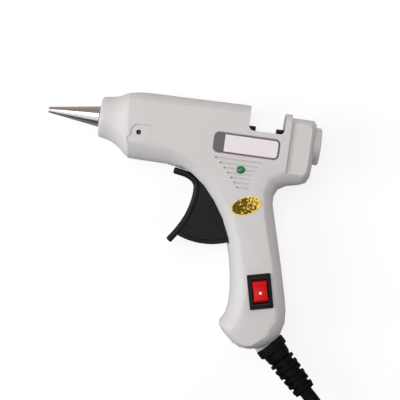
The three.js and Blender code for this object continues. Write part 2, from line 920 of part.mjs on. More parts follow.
// Right half shell: sunk screw holes and the seat of the cord clamp
function rightShell(whole) {
  const half = whole.intersect(
    block(-nozzleReach, housingLength * 2, -gripDrop * 2, gripDrop, -thickness, mid - partingGap / 2),
  );
  const sinks = screwPlaces.flatMap(({ x, y }) => [
    barZ(screwHeadRadius + gap, x, y, -overrun, screwSink, roundSides / 2),
    barZ(screwRadius + gap, x, y, 0, mid, smallSides),
  ]);
  const clampPilots = clampScrewPlaces().map(({ x, y }) =>
    barZ(clampScrewRadius + gap, x, y, mid - clampScrewLength, mid + overrun, smallSides),
  );
  return cut(half, ...sinks, ...clampPilots);
}

// The two screws of the cord clamp, either side of the cord
function clampScrewPlaces() {
  return [-clampScrewAway, clampScrewAway].map((across) => glandVector(clampX, across));
}

// A pan-headed cross-slot screw pointing up +Z, its head's underside at the given height
function screw(radius, headRadius, length, x, y, z, upsideDown = false) {
  const shank = new THREE.CylinderGeometry(radius, radius, length, smallSides);
  shank.translate(0, length / 2 - weld, 0);
  const faceRadius = headRadius * screwFaceShare;
  const head = new THREE.CylinderGeometry(headRadius, faceRadius, screwHeadHeight, smallSides);
  head.translate(0, -screwHeadHeight / 2, 0);
  const slotLength = headRadius * slotLengthShare;
  const slot = new THREE.BoxGeometry(slotLength, screwHeadHeight, headRadius * slotWidthShare);
  slot.translate(0, -screwHeadHeight, 0);
  const cross = slot.clone().rotateY(Math.PI / 2);
  const turn = upsideDown ? -Math.PI / 2 : Math.PI / 2;
  const put = (geometry) => solid(geometry.rotateX(turn).translate(x, y, z));
  return cut(joined(put(shank), put(head)), put(slot), put(cross));
}

function housingScrews() {
  return screwPlaces.map(({ x, y }) =>
    screw(screwRadius, screwHeadRadius, screwLength, x, y, screwSink - gap),
  );
}

// Nozzle: cone, seat behind it, and the shank inside the chamber
function nozzle() {
  const coneEnd = -nozzleSeatOut - nozzleSeatLength;
  const shankEnd = chamberStart + nozzleShankLength;
  const shankRadius = boreRadius - gap;
  return turned(
    [
      [-nozzleReach, nozzleMouthRadius],
      [-nozzleReach, nozzleTipRadius],
      [coneEnd, nozzleConeRadius],
      [coneEnd, nozzleRootRadius],
      [-nozzleSeatOut, nozzleRootRadius],
      [-nozzleSeatOut, shankRadius],
      [shankEnd, shankRadius],
      [shankEnd, nozzleBoreRadius],
      [0, nozzleBoreRadius],
      [-nozzleReach + nozzleSeatLength, nozzleMouthRadius],
      [-nozzleReach, nozzleMouthRadius],
    ],
    fineSides,
  );
}

// Insulating ring that centres the nozzle and the chamber in the collar
function frontRing() {
  const outer = collarRadius - wall - gap;
  const inner = boreRadius;
  const from = collarFrontWall + gap;
  return turned([
    [from, inner],
    [from, outer],
    [from + ringLength, outer],
    [from + ringLength, inner],
    [from, inner],
  ]);
}

// Heating chamber: bored barrel, spigot for the sleeve, and the heater's pocket
function heatingChamber() {
  const barrel = turned([
    [chamberStart, boreRadius],
    [chamberStart, chamberNeckRadius],
    [chamberStart + ringLength, chamberRadius],
    [chamberEnd - spigotLength, chamberRadius],
    [chamberEnd - spigotLength, spigotRadius],
    [chamberEnd, spigotRadius],
    [chamberEnd, boreRadius],
    [chamberStart, boreRadius],
  ]);
  const to = pocketStart + heaterLength + overrun;
  const [low, high] = [pocketFloor, pocketTop];
  const half = heaterWidth / 2 + filmThickness + 2 * gap;
  const outside = half + pocketWall;
  return cut(
    joined(
      solid(barrel.translate(0, 0, mid)),
      block(pocketStart, to, low - pocketWall, high + pocketWall, mid - outside, mid + outside),
    ),
    block(pocketStart - overrun, to + overrun, low, high, mid - half, mid + half),
    barX(boreRadius, chamberStart - overrun, chamberEnd + overrun),
  );
}

// Heater stack: ceramic between two electrodes, wrapped in film
const stackX = pocketStart + overrun / 2;
const stackY = (pocketTop + pocketFloor) / 2;

function heater() {
  const geometry = new THREE.BoxGeometry(heaterLength, heaterThickness, heaterWidth);
  return geometry.translate(heaterLength / 2, 0, 0);
}

function electrode(side) {
  const y = stackY + side * (heaterThickness / 2 + gap);
  const y1 = y + side * electrodeThickness;
  const [low, high] = [Math.min(y, y1), Math.max(y, y1)];
  const half = heaterWidth / 2;
  const tabZ = mid + side * (half / 2);
  return joined(
    block(stackX, stackX + heaterLength, low, high, mid - half, mid + half),
    block(
      stackX + heaterLength - overrun,
      stackX + heaterLength + electrodeTab,
      low,
      high,
      tabZ - half / 4,
      tabZ + half / 4,
    ),
  );
}

function heaterFilm() {
  const inner = heaterThickness / 2 + electrodeThickness + 2 * gap;
  const outer = inner + filmThickness;
  const half = heaterWidth / 2 + gap;
  const end = stackX + heaterLength;
  const far = half + filmThickness;
  return cut(
    block(stackX, end, stackY - outer, stackY + outer, mid - far, mid + far),
    block(stackX - overrun, end + overrun, stackY - inner, stackY + inner, mid - half, mid + half),
  );
}

// Silicone sleeve from the chamber's spigot towards the carriage, and its wire clamp
function inletSleeve() {
  const from = chamberEnd - spigotLength + gap;
  const inner = spigotRadius + gap;
  return turned([
    [from, inner],
    [from, sleeveRadius],
    [sleeveEnd, sleeveRadius],
    [sleeveEnd, boreRadius],
    [chamberEnd + gap, boreRadius],
    [chamberEnd + gap, inner],
    [from, inner],
  ]);
}

function sleeveClamp() {
  const inner = sleeveRadius + gap;
  const from = chamberEnd - spigotLength / 2 - clampWire;
  return turned([
    [from, inner],
    [from, inner + clampWire],
    [from + 2 * clampWire, inner + clampWire],
    [from + 2 * clampWire, inner],
    [from, inner],
  ]);
}

// Carriage: bored slide with side pins, a case for the gripper and a lug for the spring
const gripperX = sidePinX - gripperPinBack;

function carriage() {
  const tail = turned([
    [noseX, boreRadius],
    [noseX, tubeRadius],
    [tailEnd, tubeRadius],
    [tailEnd, boreRadius],
    [noseX, boreRadius],
  ]);
  const caseFrom = noseX + gap;
  const caseTo = gripperX + gripperLength;
  const caseHalf = gripperThickness / 2 + gap + gripperCaseWall;
  const caseTop = gripperPinHeight + gripperHeight / 2;
  const lugFrom = sidePinX - lugLength / 2;
  const body = joined(
    solid(tail.translate(0, 0, mid)),
    block(caseFrom, caseTo, boreRadius, caseTop, mid - caseHalf, mid + caseHalf),
    block(
      lugFrom,
      lugFrom + lugLength,
      -springDrop - springRadius,
      -boreRadius - gap,
      mid - lugWidth / 2,
      mid + lugWidth / 2,
    ),
    barZ(sidePinRadius, sidePinX, 0, mid + boreRadius + gap, mid + sidePinReach, smallSides),
    barZ(sidePinRadius, sidePinX, 0, mid - sidePinReach, mid - boreRadius - gap, smallSides),
  );
  const slotHalf = gripperThickness / 2 + gap;
  return cut(
    body,
    block(
      caseFrom + gripperCaseWall,
      caseTo - gripperCaseWall,
      0,
      caseTop + overrun,
      mid - slotHalf,
      mid + slotHalf,
    ),
    barZ(gripperPinRadius + gap, gripperX, gripperPinHeight, 0, thickness, smallSides),
    barX(boreRadius, noseX - overrun, tailEnd + overrun),
  );
}

// Toothed jaw that tilts into the stick: its outline round the pin, in shares of its length
const gripperShares = [
  [-0.34, 0.1],
  [-0.2, 0.32],
  [0.12, 0.34],
  [0.6, -0.1],
  [0.64, -0.46],
  [0.54, -0.36],
  [0.43, -0.49],
  [0.32, -0.38],
  [0.2, -0.5],
  [0.09, -0.39],
  [-0.05, -0.48],
  [-0.28, -0.26],
];

function gripper() {
  const points = gripperShares.map(([x, y]) => [x * gripperLength, y * gripperLength]);
  const outline = polygon(points.toReversed());
  const half = gripperThickness / 2;
  const jaw = solid(extruded(outline, -half, half));
  return cut(jaw, barZ(gripperPinRadius + gap, 0, 0, -half - overrun, half + overrun, smallSides));
}

// Coil spring along X between the rib and the carriage's lug
function returnSpring() {
  const from = springRibStart + ribThickness + gap;
  const to = sidePinX - lugLength / 2 - gap;
  const radius = springRadius - springWire;
  const length = to - from - 2 * springWire;
  const stepsPerTurn = 8;
  const points = [];
  for (let i = 0; i <= springTurns * stepsPerTurn; i++) {
    const share = i / (springTurns * stepsPerTurn);
    const angle = share * springTurns * 2 * Math.PI;
    points.push(
      new THREE.Vector3(share * length, radius * Math.cos(angle), radius * Math.sin(angle)),
    );
  }
  const wire = tube(points, springWire, leadSides, points.length - 1);
  return wire.translate(from + springWire, 0, 0);
}

// Trigger ridge's centre line, round the hinge, in shares of the trigger's reach
const ridgeShares = [
  [-0.542, -0.022],
  [-0.352, -0.058],
  [-0.248, -0.114],
  [-0.2, -0.182],
  [-0.189, -0.252],
  [-0.194, -0.367],
  [-0.217, -0.491],
  [-0.261, -0.635],
  [-0.329, -0.779],
  [-0.406, -0.906],
  [-0.485, -1.018],
];

function ridgeLine() {
  const points = ridgeShares.map(([x, y]) => new THREE.Vector3(x, y, 0).multiplyScalar(triggerReach));
  return new THREE.CatmullRomCurve3(points, false, "centripetal");
}

// Finger ridge: a bar with rounded edges swept along its line
function ridge() {
  return new THREE.ExtrudeGeometry(roundedRectangle(triggerWidth, ridgeThickness, ridgeEdge), {
    steps: ridgeSteps,
    curveSegments: 1,
    extrudePath: ridgeLine(),
    bevelEnabled: false,
  });
}

// One cheek seen from the side: behind the ridge, down to the arc, and up round the hub
function cheekOutline() {
  const line = ridgeLine();
  const shape = new THREE.Shape();
  const start = line.getPoint(cheekFromShare);
  shape.moveTo(start.x, start.y);
  for (let step = 1; step <= cheekSteps; step++) {
    const share = THREE.MathUtils.lerp(cheekFromShare, cheekToShare, step / cheekSteps);
    const point = line.getPoint(share);
    shape.lineTo(point.x, point.y);
  }
  shape.absarc(0, 0, triggerReach, radians(cheekArcFrom), radians(cheekArcTo));
  shape.lineTo(hubRadius, 0);
  shape.lineTo(0, hubRadius);
  shape.lineTo(-hubRadius, 0);
  return shape;
}

function trigger() {
  const far = triggerWidth / 2;
  const plateFar = far - rimRaise;
  const both = (make) => joined(make(armInside, 1), make(armInside, -1));
  const slab = (shape, near, reach, side) => {
    const [z0, z1] = side > 0 ? [near, reach] : [-reach, -near];
    return solid(extruded(shape, z0, z1));
  };
  const arc = new THREE.Shape();
  arc.absarc(0, 0, triggerReach, radians(rimArcFrom), radians(cheekArcTo));
  arc.absarc(0, 0, triggerReach - rimBand, radians(cheekArcTo), radians(rimArcFrom), true);
  const lean = radians(90 - forkSwing);
  const eyeNear = -pivotY - gap;
  const eyeFar = -pivotY / Math.cos(radians(forkSwing)) + gap;
  const arm = new THREE.BoxGeometry(eyeFar, armWidth, cheekThickness);
  arm.translate(eyeFar / 2, 0, 0).rotateZ(lean);
  const eyes = (radius, z0, z1) =>
    [eyeNear, eyeFar].map((reach) =>
      barZ(radius, reach * Math.cos(lean), reach * Math.sin(lean), z0, z1, smallSides),
    );
  const slotWidth = 2 * (sidePinRadius + slideGap);
  const slotBlock = new THREE.BoxGeometry(eyeFar - eyeNear, slotWidth, triggerWidth + 2 * overrun);
  slotBlock.translate((eyeFar + eyeNear) / 2, 0, 0).rotateZ(lean);
  const side = (near, sign) => {
    const centre = sign * (near + cheekThickness / 2);
    const [z0, z1] = sign > 0 ? [near, far] : [-far, -near];
    return joined(
      slab(cheekOutline(), near, plateFar, sign),
      slab(arc, near, far, sign),
      solid(arm.clone().translate(0, 0, centre)),
      ...eyes(eyeRadius, z0, z1),
    );
  };
  const body = joined(
    both(side),
    solid(ridge()),
    barZ(hubRadius, 0, 0, -far, far),
  );
  return cut(
    body,
    barZ(pinRadius + gap, 0, 0, -far - overrun, far + overrun),
    ...eyes(slotWidth / 2, -far - overrun, far + overrun),
    solid(slotBlock),
  );
}

// Guide tube for the stick, flanged between two ribs, with a funnel mouth
function rearGuide() {
  const from = notchRear - guideShow;
  const to = housingLength - bossEdge;
  return turned(
    [
      [from, boreRadius],
      [from, tubeRadius],
      [guideFlangeX, tubeRadius],
      [guideFlangeX, guideFlangeRadius],
      [guideFlangeX + guideFlangeLength, guideFlangeRadius],
      [guideFlangeX + guideFlangeLength, tubeRadius],
      [to, tubeRadius],
      [to, inletMouthRadius],
      [to - bossLength, boreRadius],
      [from, boreRadius],
    ],
    fineSides,
  );
}

// Switch body in its own frame: x across, y along, z = 0 on the housing's face
function switchBody() {
  const inset = bezelBevel;
  const ring = (length, width, z) => [
    new THREE.Vector3(-width / 2, -length / 2, z),
    new THREE.Vector3(width / 2, -length / 2, z),
    new THREE.Vector3(width / 2, length / 2, z),
    new THREE.Vector3(-width / 2, length / 2, z),
  ];
  const bezel = solid(
    loft(
      [
        ring(bezelLength, bezelWidth, 0),
        ring(bezelLength, bezelWidth, bezelRim),
        ring(bezelLength - 2 * inset, bezelWidth - 2 * inset, bezelHeight),
      ],
      (point) => new THREE.Vector2(point.x, point.y),
    ),
  );
  const halfLength = switchBodyLength / 2;
  const halfWidth = switchBodyWidth / 2;
  const wellLength = rockerLength / 2 + gap;
  const wellWidth = rockerWidth / 2 + gap;
  const wellDepth = rockerPivotDepth + rockerLength / 2;
  return cut(
    joined(bezel, block(-halfWidth, halfWidth, -halfLength, halfLength, -switchDepth, bezelHeight / 2)),
    block(-wellWidth, wellWidth, -wellLength, wellLength, bezelHeight - wellDepth, bezelHeight + overrun),
  );
}

// Rocker about its own pivot: ends round about the pivot, top in a shallow vee
function rocker() {
  const radius = rockerLength / 2;
  const crown = Math.asin((rockerCrown + rockerPivotDepth) / radius);
  const belly = Math.asin(rockerBelly / radius);
  const shape = new THREE.Shape();
  shape.absarc(0, 0, radius, -belly, crown);
  shape.lineTo(0, rockerValley + rockerPivotDepth);
  shape.absarc(0, 0, radius, Math.PI - crown, Math.PI + belly);
  const geometry = extruded(shape, -rockerWidth / 2, rockerWidth / 2);
  return geometry.rotateY(Math.PI / 2).rotateX(Math.PI / 2);
}

const terminalSpread = switchBodyLength / 4;

function switchTerminals() {
  return [-terminalSpread, terminalSpread].map((y) =>
    block(
      -terminalWidth / 2,
      terminalWidth / 2,
      y - terminalThickness / 2,
      y + terminalThickness / 2,
      -switchDepth - gap - terminalLength,
      -switchDepth - gap,
    ),
  );
}

// Lamp: flanged dome, base at z = 0
function lamp() {
  const flange = lampFlangeLength;
  const straight = lampLength - lampRadius;
  const dome = [];
  for (let i = 0; i <= 4; i++) {
    const angle = (i / 4) * (Math.PI / 2);
    dome.push([straight + lampRadius * Math.sin(angle), lampRadius * Math.cos(angle)]);
  }
  dome[dome.length - 1][1] = 0;
  return turned(
    [[0, 0], [0, lampFlangeRadius], [flange, lampFlangeRadius], [flange, lampRadius], ...dome],
    roundSides / 2,
  ).rotateY(-Math.PI / 2);
}

// Strain relief along +X from the gland's face: head inside, flange, neck and ribs
function strainRelief() {
  const headTo = headFrom + reliefHeadLength;
  const shank = glandBore - gap;
  const profile = [
    [headFrom, 0],
    [headFrom, reliefHeadRadius],
    [headTo, reliefHeadRadius],
    [headTo, shank],
    [gap, shank],
    [gap, reliefFlangeRadius],
    [reliefFlangeLength, reliefFlangeRadius],
    [reliefFlangeLength + gap, reliefNeckRadius],
    [reliefFlangeLength + reliefNeckLength, reliefRibRadius],
  ];
  const ribsFrom = reliefFlangeLength + reliefNeckLength;
  const pitch = (reliefLength - ribsFrom) / reliefRibs;
  for (let rib = 0; rib < reliefRibs; rib++) {
    const x = ribsFrom + rib * pitch;
    const taper = (rib + 1) / reliefRibs;
    const crest = THREE.MathUtils.lerp(reliefRibRadius, reliefTipRadius + gap, taper);
    profile.push([x + reliefEdgeShare * pitch, reliefValleyRadius]);
    profile.push([x + (reliefGrooveShare - reliefEdgeShare) * pitch, reliefValleyRadius]);
    profile.push([x + reliefGrooveShare * pitch, crest]);
    profile.push([x + pitch, crest]);
  }
  profile.push([reliefLength, 0]);
  return turned(profile, reliefSides);
}

// Bar with an arch that clamps the cord's jacket to its seat
function cordClamp() {
  const from = clampX - clampWidth / 2;
  const to = from + clampWidth;
  const archHalf = cordRadius + gap + clampWall;
  const foot = blockShape(from, to, -clampSpan, clampSpan, mid, mid + clampFoot);
  const arch = blockShape(from, to, -archHalf, archHalf, mid, mid + archHalf);
  const holes = clampScrewPlaces().map(({ x, y }) =>
    barZ(clampScrewRadius + gap, x, y, mid - overrun, mid + archHalf + overrun, smallSides),
  );
  return cut(
    joined(solid(atGland(foot)), solid(atGland(arch))),
    glandBar(cordRadius + gap, from - overrun, to + overrun),
    ...holes,
  );
}

function clampScrews() {
  const top = mid + clampFoot + gap;
  return clampScrewPlaces().map(({ x, y }) =>
    screw(clampScrewRadius, clampHeadRadius, clampScrewLength, x, y, top, true),
  );
}

// Jacketed end of the cord inside the housing
function cordJacket() {
  const to = headFrom - gap;
  return turned([
    [to - jacketLength, 0],
    [to - jacketLength, cordRadius],
    [to, cordRadius],
    [to, 0],
  ]);
}

// Where the leads meet the switch, the splice and the cord's jacket
const lampBase = thickness + lampProud - lampLength;
const terminalEnd = thickness - switchDepth - gap - terminalLength - leadRadius - gap;
const terminalPlaces = [1, -1].map((side) => [
  switchX - side * terminalSpread * Math.sin(radians(switchTilt)),
  switchY + side * terminalSpread * Math.cos(radians(switchTilt)),
  terminalEnd,
]);
const spliceX = acrossX(spliceXShare);
const spliceY = -spliceYShare * gripDrop;
const spliceZ = wall + 2 * gap + spliceRadius;
const jacketEnd = headFrom - jacketLength - 2 * gap;

// Routes of the leads between their ends: shares of the length, the grip's drop and the thickness
const leadShares = {
  heater_lead_live: [
    [0.49, -0.11, 0.87],
    [0.62, -0.115, 0.87],
    [0.72, -0.14, 0.86],
    [0.76, -0.22, 0.82],
    [0.78, -0.33, 0.75],
    [0.815, -0.45, 0.6],
    [0.825, -0.56, 0.45],
    [0.82, -0.63, 0.36],
  ],
  heater_lead_neutral: [
    [0.49, -0.11, 0.13],
    [0.62, -0.115, 0.13],
    [0.7, -0.19, 0.13],
    [0.745, -0.31, 0.13],
    [0.79, -0.43, 0.14],
    [0.832, -0.55, 0.16],
    [0.815, -0.64, 0.18],
    [0.79, -0.69, 0.185],
  ],
  lamp_lead_live: [
    [0.715, -0.25, 0.84],
    [0.765, -0.37, 0.845],
    [0.802, -0.45, 0.79],
    [0.84, -0.56, 0.6],
    [0.855, -0.62, 0.5],
  ],
  lamp_lead_neutral: [
    [0.695, -0.26, 0.82],
    [0.752, -0.36, 0.7],
    [0.779, -0.43, 0.64],
    [0.757, -0.485, 0.58],
    [0.74, -0.545, 0.5],
    [0.74, -0.6, 0.4],
    [0.76, -0.68, 0.25],
  ],
  mains_lead_live: [
    [0.79, -0.83, 0.5],
    [0.81, -0.78, 0.4],
  ],
  mains_lead_neutral: [
    [0.78, -0.87, 0.36],
    [0.775, -0.84, 0.22],
  ],
};

// Each lead's first places and its last one, at a tab, a terminal, the splice, the board or the jacket
function leadEnds() {
  const tab = (side) => [
    stackX + heaterLength + electrodeTab + gap + leadRadius,
    stackY + side * (heaterThickness / 2 + electrodeThickness / 2 + gap),
    mid + side * (heaterWidth / 4),
  ];
  const atSplice = (side, away) => [
    spliceX + away,
    spliceY + side * (spliceLength / 2 + gap),
    spliceZ,
  ];
  const atBoard = (away) => [
    lampX + away,
    lampY - boardRadius - gap - leadRadius,
    lampBase - gap - boardThickness / 2,
  ];
  const atJacket = (away) => {
    const { x, y } = glandVector(jacketEnd - 2 * leadRadius, 0);
    return [x, y, mid + away];
  };
  // From its tab, a heater lead turns outwards and goes through its channel
  const fromTab = (side) => {
    const [x, y] = tab(side);
    const channelY = -channelDropShare * gripDrop;
    const outwards = (share) => mid + side * share * channelAway;
    return [
      tab(side),
      [x, THREE.MathUtils.lerp(y, channelY, 1 / 2), outwards(0.7)],
      [x, channelY, outwards(1)],
      [frontRibStart + ribThickness / 2, channelY, outwards(1)],
      [springRibStart + ribThickness + 2 * leadRadius, channelY, outwards(1)],
    ];
  };
  const [upper, lower] = terminalPlaces;
  const beside = leadRadius + gap / 2;
  const upperAside = [upper[0] + 2 * beside, upper[1] + beside, upper[2] + 2 * beside];
  return {
    heater_lead_live: [fromTab(1), upper],
    heater_lead_neutral: [fromTab(-1), atSplice(1, beside)],
    lamp_lead_live: [[atBoard(beside)], upperAside],
    lamp_lead_neutral: [[atBoard(-beside)], atSplice(1, -beside)],
    mains_lead_live: [[atJacket(beside)], lower],
    mains_lead_neutral: [[atJacket(-beside)], atSplice(-1, 0)],
  };
}

function lead(name) {
  const [first, last] = leadEnds()[name];
  const middle = leadShares[name].map(([x, y, z]) => [acrossX(x), y * gripDrop, z * thickness]);
  const points = vectors([...first, ...middle, last]);
  return tube(points, leadRadius, leadSides, 2 * points.length);
}

// Free cord from the strain relief to the coil, chosen by hand
const leadRoute = [
  [123, -124.9, 12.4],
  [128.1, -130.9, 9.9],
  [132.7, -137.4, 6.9],
  [136.3, -144, 4.8],
  [138.2, -148.2, 4.2],
];
// Free cord from the coil to the plug, chosen by hand
const tailRoute = [
  [88, -216.2, 10.9],
  [80, -215, 10],
  [72, -213.3, 8.7],
  [64, -211.8, 7.5],
  [57, -211.1, 7.1],
];
const plugX = 50;
const plugY = -211;
const coilTurns = coilWholeTurns + (coilEntry - coilExit) / 360;
const coilLow = tieThickness + gap + cordRadius;
const coilHigh = coilLow + coilPitch;

const vectors = (rows) => rows.map(([x, y, z]) => new THREE.Vector3(x, y, z));

// Point on the coil after some turns: spiral in on the floor, climb, spiral out on top
function coilPoint(turns) {
  const middle = coilTurns / 2;
  const radius = coilOuterRadius - coilPitch * (middle - Math.abs(turns - middle));
  const half = coilClimbTurns / 2;
  const climbed = THREE.MathUtils.smoothstep(turns, middle - half, middle + half);
  const angle = radians(coilEntry) - turns * 2 * Math.PI;
  return new THREE.Vector3(
    coilX + radius * Math.cos(angle),
    coilY + radius * Math.sin(angle),
    THREE.MathUtils.lerp(coilLow, coilHigh, climbed),
  );
}

// Heading of the cord where it enters or leaves the coil
function coilHeading(angle) {
  return new THREE.Vector3(Math.sin(radians(angle)), -Math.cos(radians(angle)), 0);
}

function coilPoints() {
  const loopSteps = 24;
  const straight = 2 * cordRadius;
  const count = Math.round(coilTurns * loopSteps);
  const points = [];
  for (let i = 0; i <= count; i++) points.push(coilPoint((i / count) * coilTurns));
  points.unshift(points[0].clone().addScaledVector(coilHeading(coilEntry), -straight));
  points.push(points.at(-1).clone().addScaledVector(coilHeading(coilExit), straight));
  return points;
}

function cordCoil() {
  const points = coilPoints();
  const path = new THREE.CatmullRomCurve3(points, false, "centripetal");
  path.arcLengthDivisions = points.length * arcSteps;
  const steps = points.length - 1;
  const samples = path.getSpacedPoints(steps);
  const apart = Math.ceil((3 * Math.PI * cordRadius) / samples[0].distanceTo(samples[1]));
  let least = Infinity;
  for (let i = 0; i < samples.length; i++) {
    for (let j = i + apart; j < samples.length; j++) {
      least = Math.min(least, samples[i].distanceTo(samples[j]));
    }
  }
  console.log("cord_coil: least gap to itself", (least - 2 * cordRadius).toFixed(2), "mm");
  return tubeAlong(path, cordRadius, coilSides, steps);
}

function cordLead() {
  const from = glandVector(reliefLength + gap, 0).setZ(mid);
  const straight = glandVector(reliefLength + gap + 2 * cordRadius, 0).setZ(mid);
  const coilStart = coilPoints()[0];
  const end = coilStart.clone().addScaledVector(coilHeading(coilEntry), -gap);
  const points = [from, straight, ...vectors(leadRoute), end];
  return tube(points, cordRadius, cordSides, 2 * points.length);
}

function cordTail() {
  const start = coilPoints().at(-1).addScaledVector(coilHeading(coilExit), gap);
  const end = [plugX + gap, plugY, plugHeight / 2];
  const points = [start, ...vectors([...tailRoute, end])];
  return tube(points, cordRadius, cordSides, 2 * points.length);
}

// Tie round the coil's bundle of turns
function cordTie() {
  const turnsAt = (coilEntry - tieAngle) / 360;
  const outer = coilOuterRadius - coilPitch * turnsAt + cordRadius + gap;
  const inner = coilOuterRadius - (coilPitch * coilTurns) / 2 - cordRadius - gap;
  const height = coilHigh + cordRadius + gap;
  const hole = roundedRectangle(outer - inner, height - tieThickness, cordRadius);
  const band = roundedRectangle(
    outer - inner + 2 * tieThickness,
    height + tieThickness,
    cordRadius + tieThickness,
  );
  band.holes.push(hole);
  const geometry = extruded(band, -tieWidth / 2, tieWidth / 2).rotateX(Math.PI / 2);
  geometry.translate((outer + inner) / 2, 0, (height + tieThickness) / 2);
  return geometry.rotateZ(radians(tieAngle));
}

// Plug along +X from where the cord enters it. Each row holds the place, from the tail's start
// to its end and on to the face, then shares of the plug's width and height.
const plugShares = [
  [0, 0, 0.4, 0.657],
  [0.7, 0, 0.44, 0.723],
  [1, 0, 0.6, 0.8],
  [1, 0.104, 0.8, 0.93],
  [1, 0.45, 1, 1],
  [1, 0.896, 1, 1],
  [1, 1, 0.891, 0.821],
];
const plugCornerShare = 0.35;

function plugBody() {
  const ring = (x, width, height) => {
    const corner = Math.min(width, height) * plugCornerShare;
    const outline = roundedRectangle(width, height, corner).getPoints(arcSteps / 2);
    return outline.map((point) => new THREE.Vector3(x, point.x, point.y));
  };
  const rings = plugShares.map(([tail, body, width, height]) =>
    ring(tail * plugTailLength + body * plugLength, width * plugWidth, height * plugHeight),
  );
  return loft(rings, (point) => new THREE.Vector2(point.y, point.z));
}

function plugBlades() {
  const from = plugTailLength + plugLength + gap;
  const to = from + bladeLength;
  const thick = bladeThickness / 2;
  const wide = bladeWidth / 2;
  return [-1, 1].map((side) => {
    const y = (side * bladeSpacing) / 2;
    const depth = 2 * bladeThickness;
    const hole = new THREE.CylinderGeometry(bladeHoleRadius, bladeHoleRadius, depth, smallSides);
    hole.translate(to - bladeHoleBack, y, 0);
    return cut(block(from, to, y - thick, y + thick, -wide, wide), solid(hole));
  });
}

// Bare plate in its pocket and a plain foil oval on the left side
function ratingPlate() {
  return extruded(roundedRectangle(plateLength, plateHeight, plateCorner), 0, plateThickness);
}

function foilPatch() {
  const shape = new THREE.Shape();
  shape.absellipse(0, 0, foilLength / 2, foilHeight / 2, 0, 2 * Math.PI);
  return new THREE.ExtrudeGeometry(shape, {
    depth: foilThickness,
    bevelEnabled: false,
    curveSegments: smallSides,
  });
}

// The gun and its cord, each piece a named mesh at its place
const gun = new THREE.Group();

function add(name, shape, material, x = 0, y = 0, z = 0, parent = gun) {
  const geometry = shape.isBufferGeometry ? shape : geometryOf(shape);
  const mesh = new THREE.Mesh(geometry, material);
  mesh.name = name;
  mesh.position.set(x, y, z);
  parent.add(mesh);
  return mesh;
}

function addEach(name, shapes, material, parent = gun) {
  shapes.forEach((shape, i) => add(`${name}_${i + 1}`, shape, material, 0, 0, 0, parent));
}

const whole = wholeHousing();
add("left_shell", leftShell(whole), shellGrey);
add("right_shell", rightShell(whole), shellGrey);
addEach("housing_screw", housingScrews(), steel);
add("nozzle", nozzle(), aluminium, 0, 0, mid);
add("front_ring", frontRing(), ceramic, 0, 0, mid);
add("heating_chamber", heatingChamber(), aluminium);
add("ptc_heater", heater(), ceramic, stackX, stackY, mid);
add("upper_electrode", electrode(1), brass);
add("lower_electrode", electrode(-1), brass);
add("heater_film", heaterFilm(), amberFilm);
add("inlet_sleeve", inletSleeve(), silicone, 0, 0, mid);
add("sleeve_clamp", sleeveClamp(), steel, 0, 0, mid);
add("carriage", carriage(), blackNylon);
add("gripper", gripper(), steel, gripperX, gripperPinHeight, mid);
const gripperPinHalf = gripperThickness / 2 + gap + gripperCaseWall;
add(
  "gripper_pin",
  barZ(gripperPinRadius, 0, 0, -gripperPinHalf, gripperPinHalf, smallSides),
  steel,
  gripperX,
  gripperPinHeight,
  mid,
);
add("return_spring", returnSpring(), steel, 0, -springDrop, mid);
add("trigger", trigger(), blackNylon, pivotX, pivotY, mid);
const pinHalf = mid - wall - gap;
add("trigger_pin", barZ(pinRadius, 0, 0, -pinHalf, pinHalf), steel, pivotX, pivotY, mid);
add("rear_guide", rearGuide(), blackNylon, 0, 0, mid);

const rockerSwitch = new THREE.Group();
rockerSwitch.position.set(switchX, switchY, thickness);
rockerSwitch.rotation.z = radians(switchTilt);
gun.add(rockerSwitch);
add("switch_body", switchBody(), blackNylon, 0, 0, gap / 2, rockerSwitch);
const rockerRise = bezelHeight - rockerPivotDepth;
const rockerMesh = add("switch_rocker", rocker(), switchRed, 0, 0, rockerRise, rockerSwitch);
rockerMesh.rotation.x = -radians(rockerSwing);
addEach("switch_terminal", switchTerminals(), brass, rockerSwitch);

add("lamp_lens", lamp(), greenLens, lampX, lampY, lampBase);
add(
  "lamp_board",
  barZ(boardRadius, 0, 0, -gap - boardThickness, -gap),
  boardGreen,
  lampX,
  lampY,
  lampBase,
);
for (const name of Object.keys(leadShares)) add(name, lead(name), wireWhite);
const spliceShape = new THREE.CylinderGeometry(spliceRadius, spliceTop, spliceLength, smallSides);
add("wire_splice", spliceShape, wireWhite, spliceX, spliceY, spliceZ);
const plateZ = thickness - platePocket + gap;
add("rating_plate", ratingPlate(), plateWhite, acrossX(plateXShare), -plateDrop, plateZ);
const foilX = acrossX(foilXShare);
const foilY = -foilYShare * gripDrop;
const foil = add("foil_patch", foilPatch(), foilGold, foilX, foilY, thickness);
foil.rotation.z = radians(foilTilt);

add("cord_clamp", cordClamp(), blackNylon);
addEach("clamp_screw", clampScrews(), steel);

// What hangs on the cord, and so isn't counted in the gun's own box
const cord = new THREE.Group();
const alongCord = new THREE.Group();
alongCord.position.set(glandX, glandY, mid);
alongCord.rotation.z = radians(glandAngle);
cord.add(alongCord);
add("strain_relief", strainRelief(), cordBlack, 0, 0, 0, alongCord);
add("cord_jacket", cordJacket(), cordBlack, 0, 0, 0, alongCord);
add("cord_lead", cordLead(), cordBlack, 0, 0, 0, cord);
add("cord_coil", cordCoil(), cordBlack, 0, 0, 0, cord);
add("cord_tie", cordTie(), wireWhite, coilX, coilY, 0, cord);
add("cord_tail", cordTail(), cordBlack, 0, 0, 0, cord);
const plug = new THREE.Group();
plug.position.set(plugX, plugY, plugHeight / 2);
plug.rotation.z = Math.PI;
cord.add(plug);
add("plug_body", plugBody(), cordBlack, 0, 0, 0, plug);
addEach("plug_blade", plugBlades(), brass, plug);

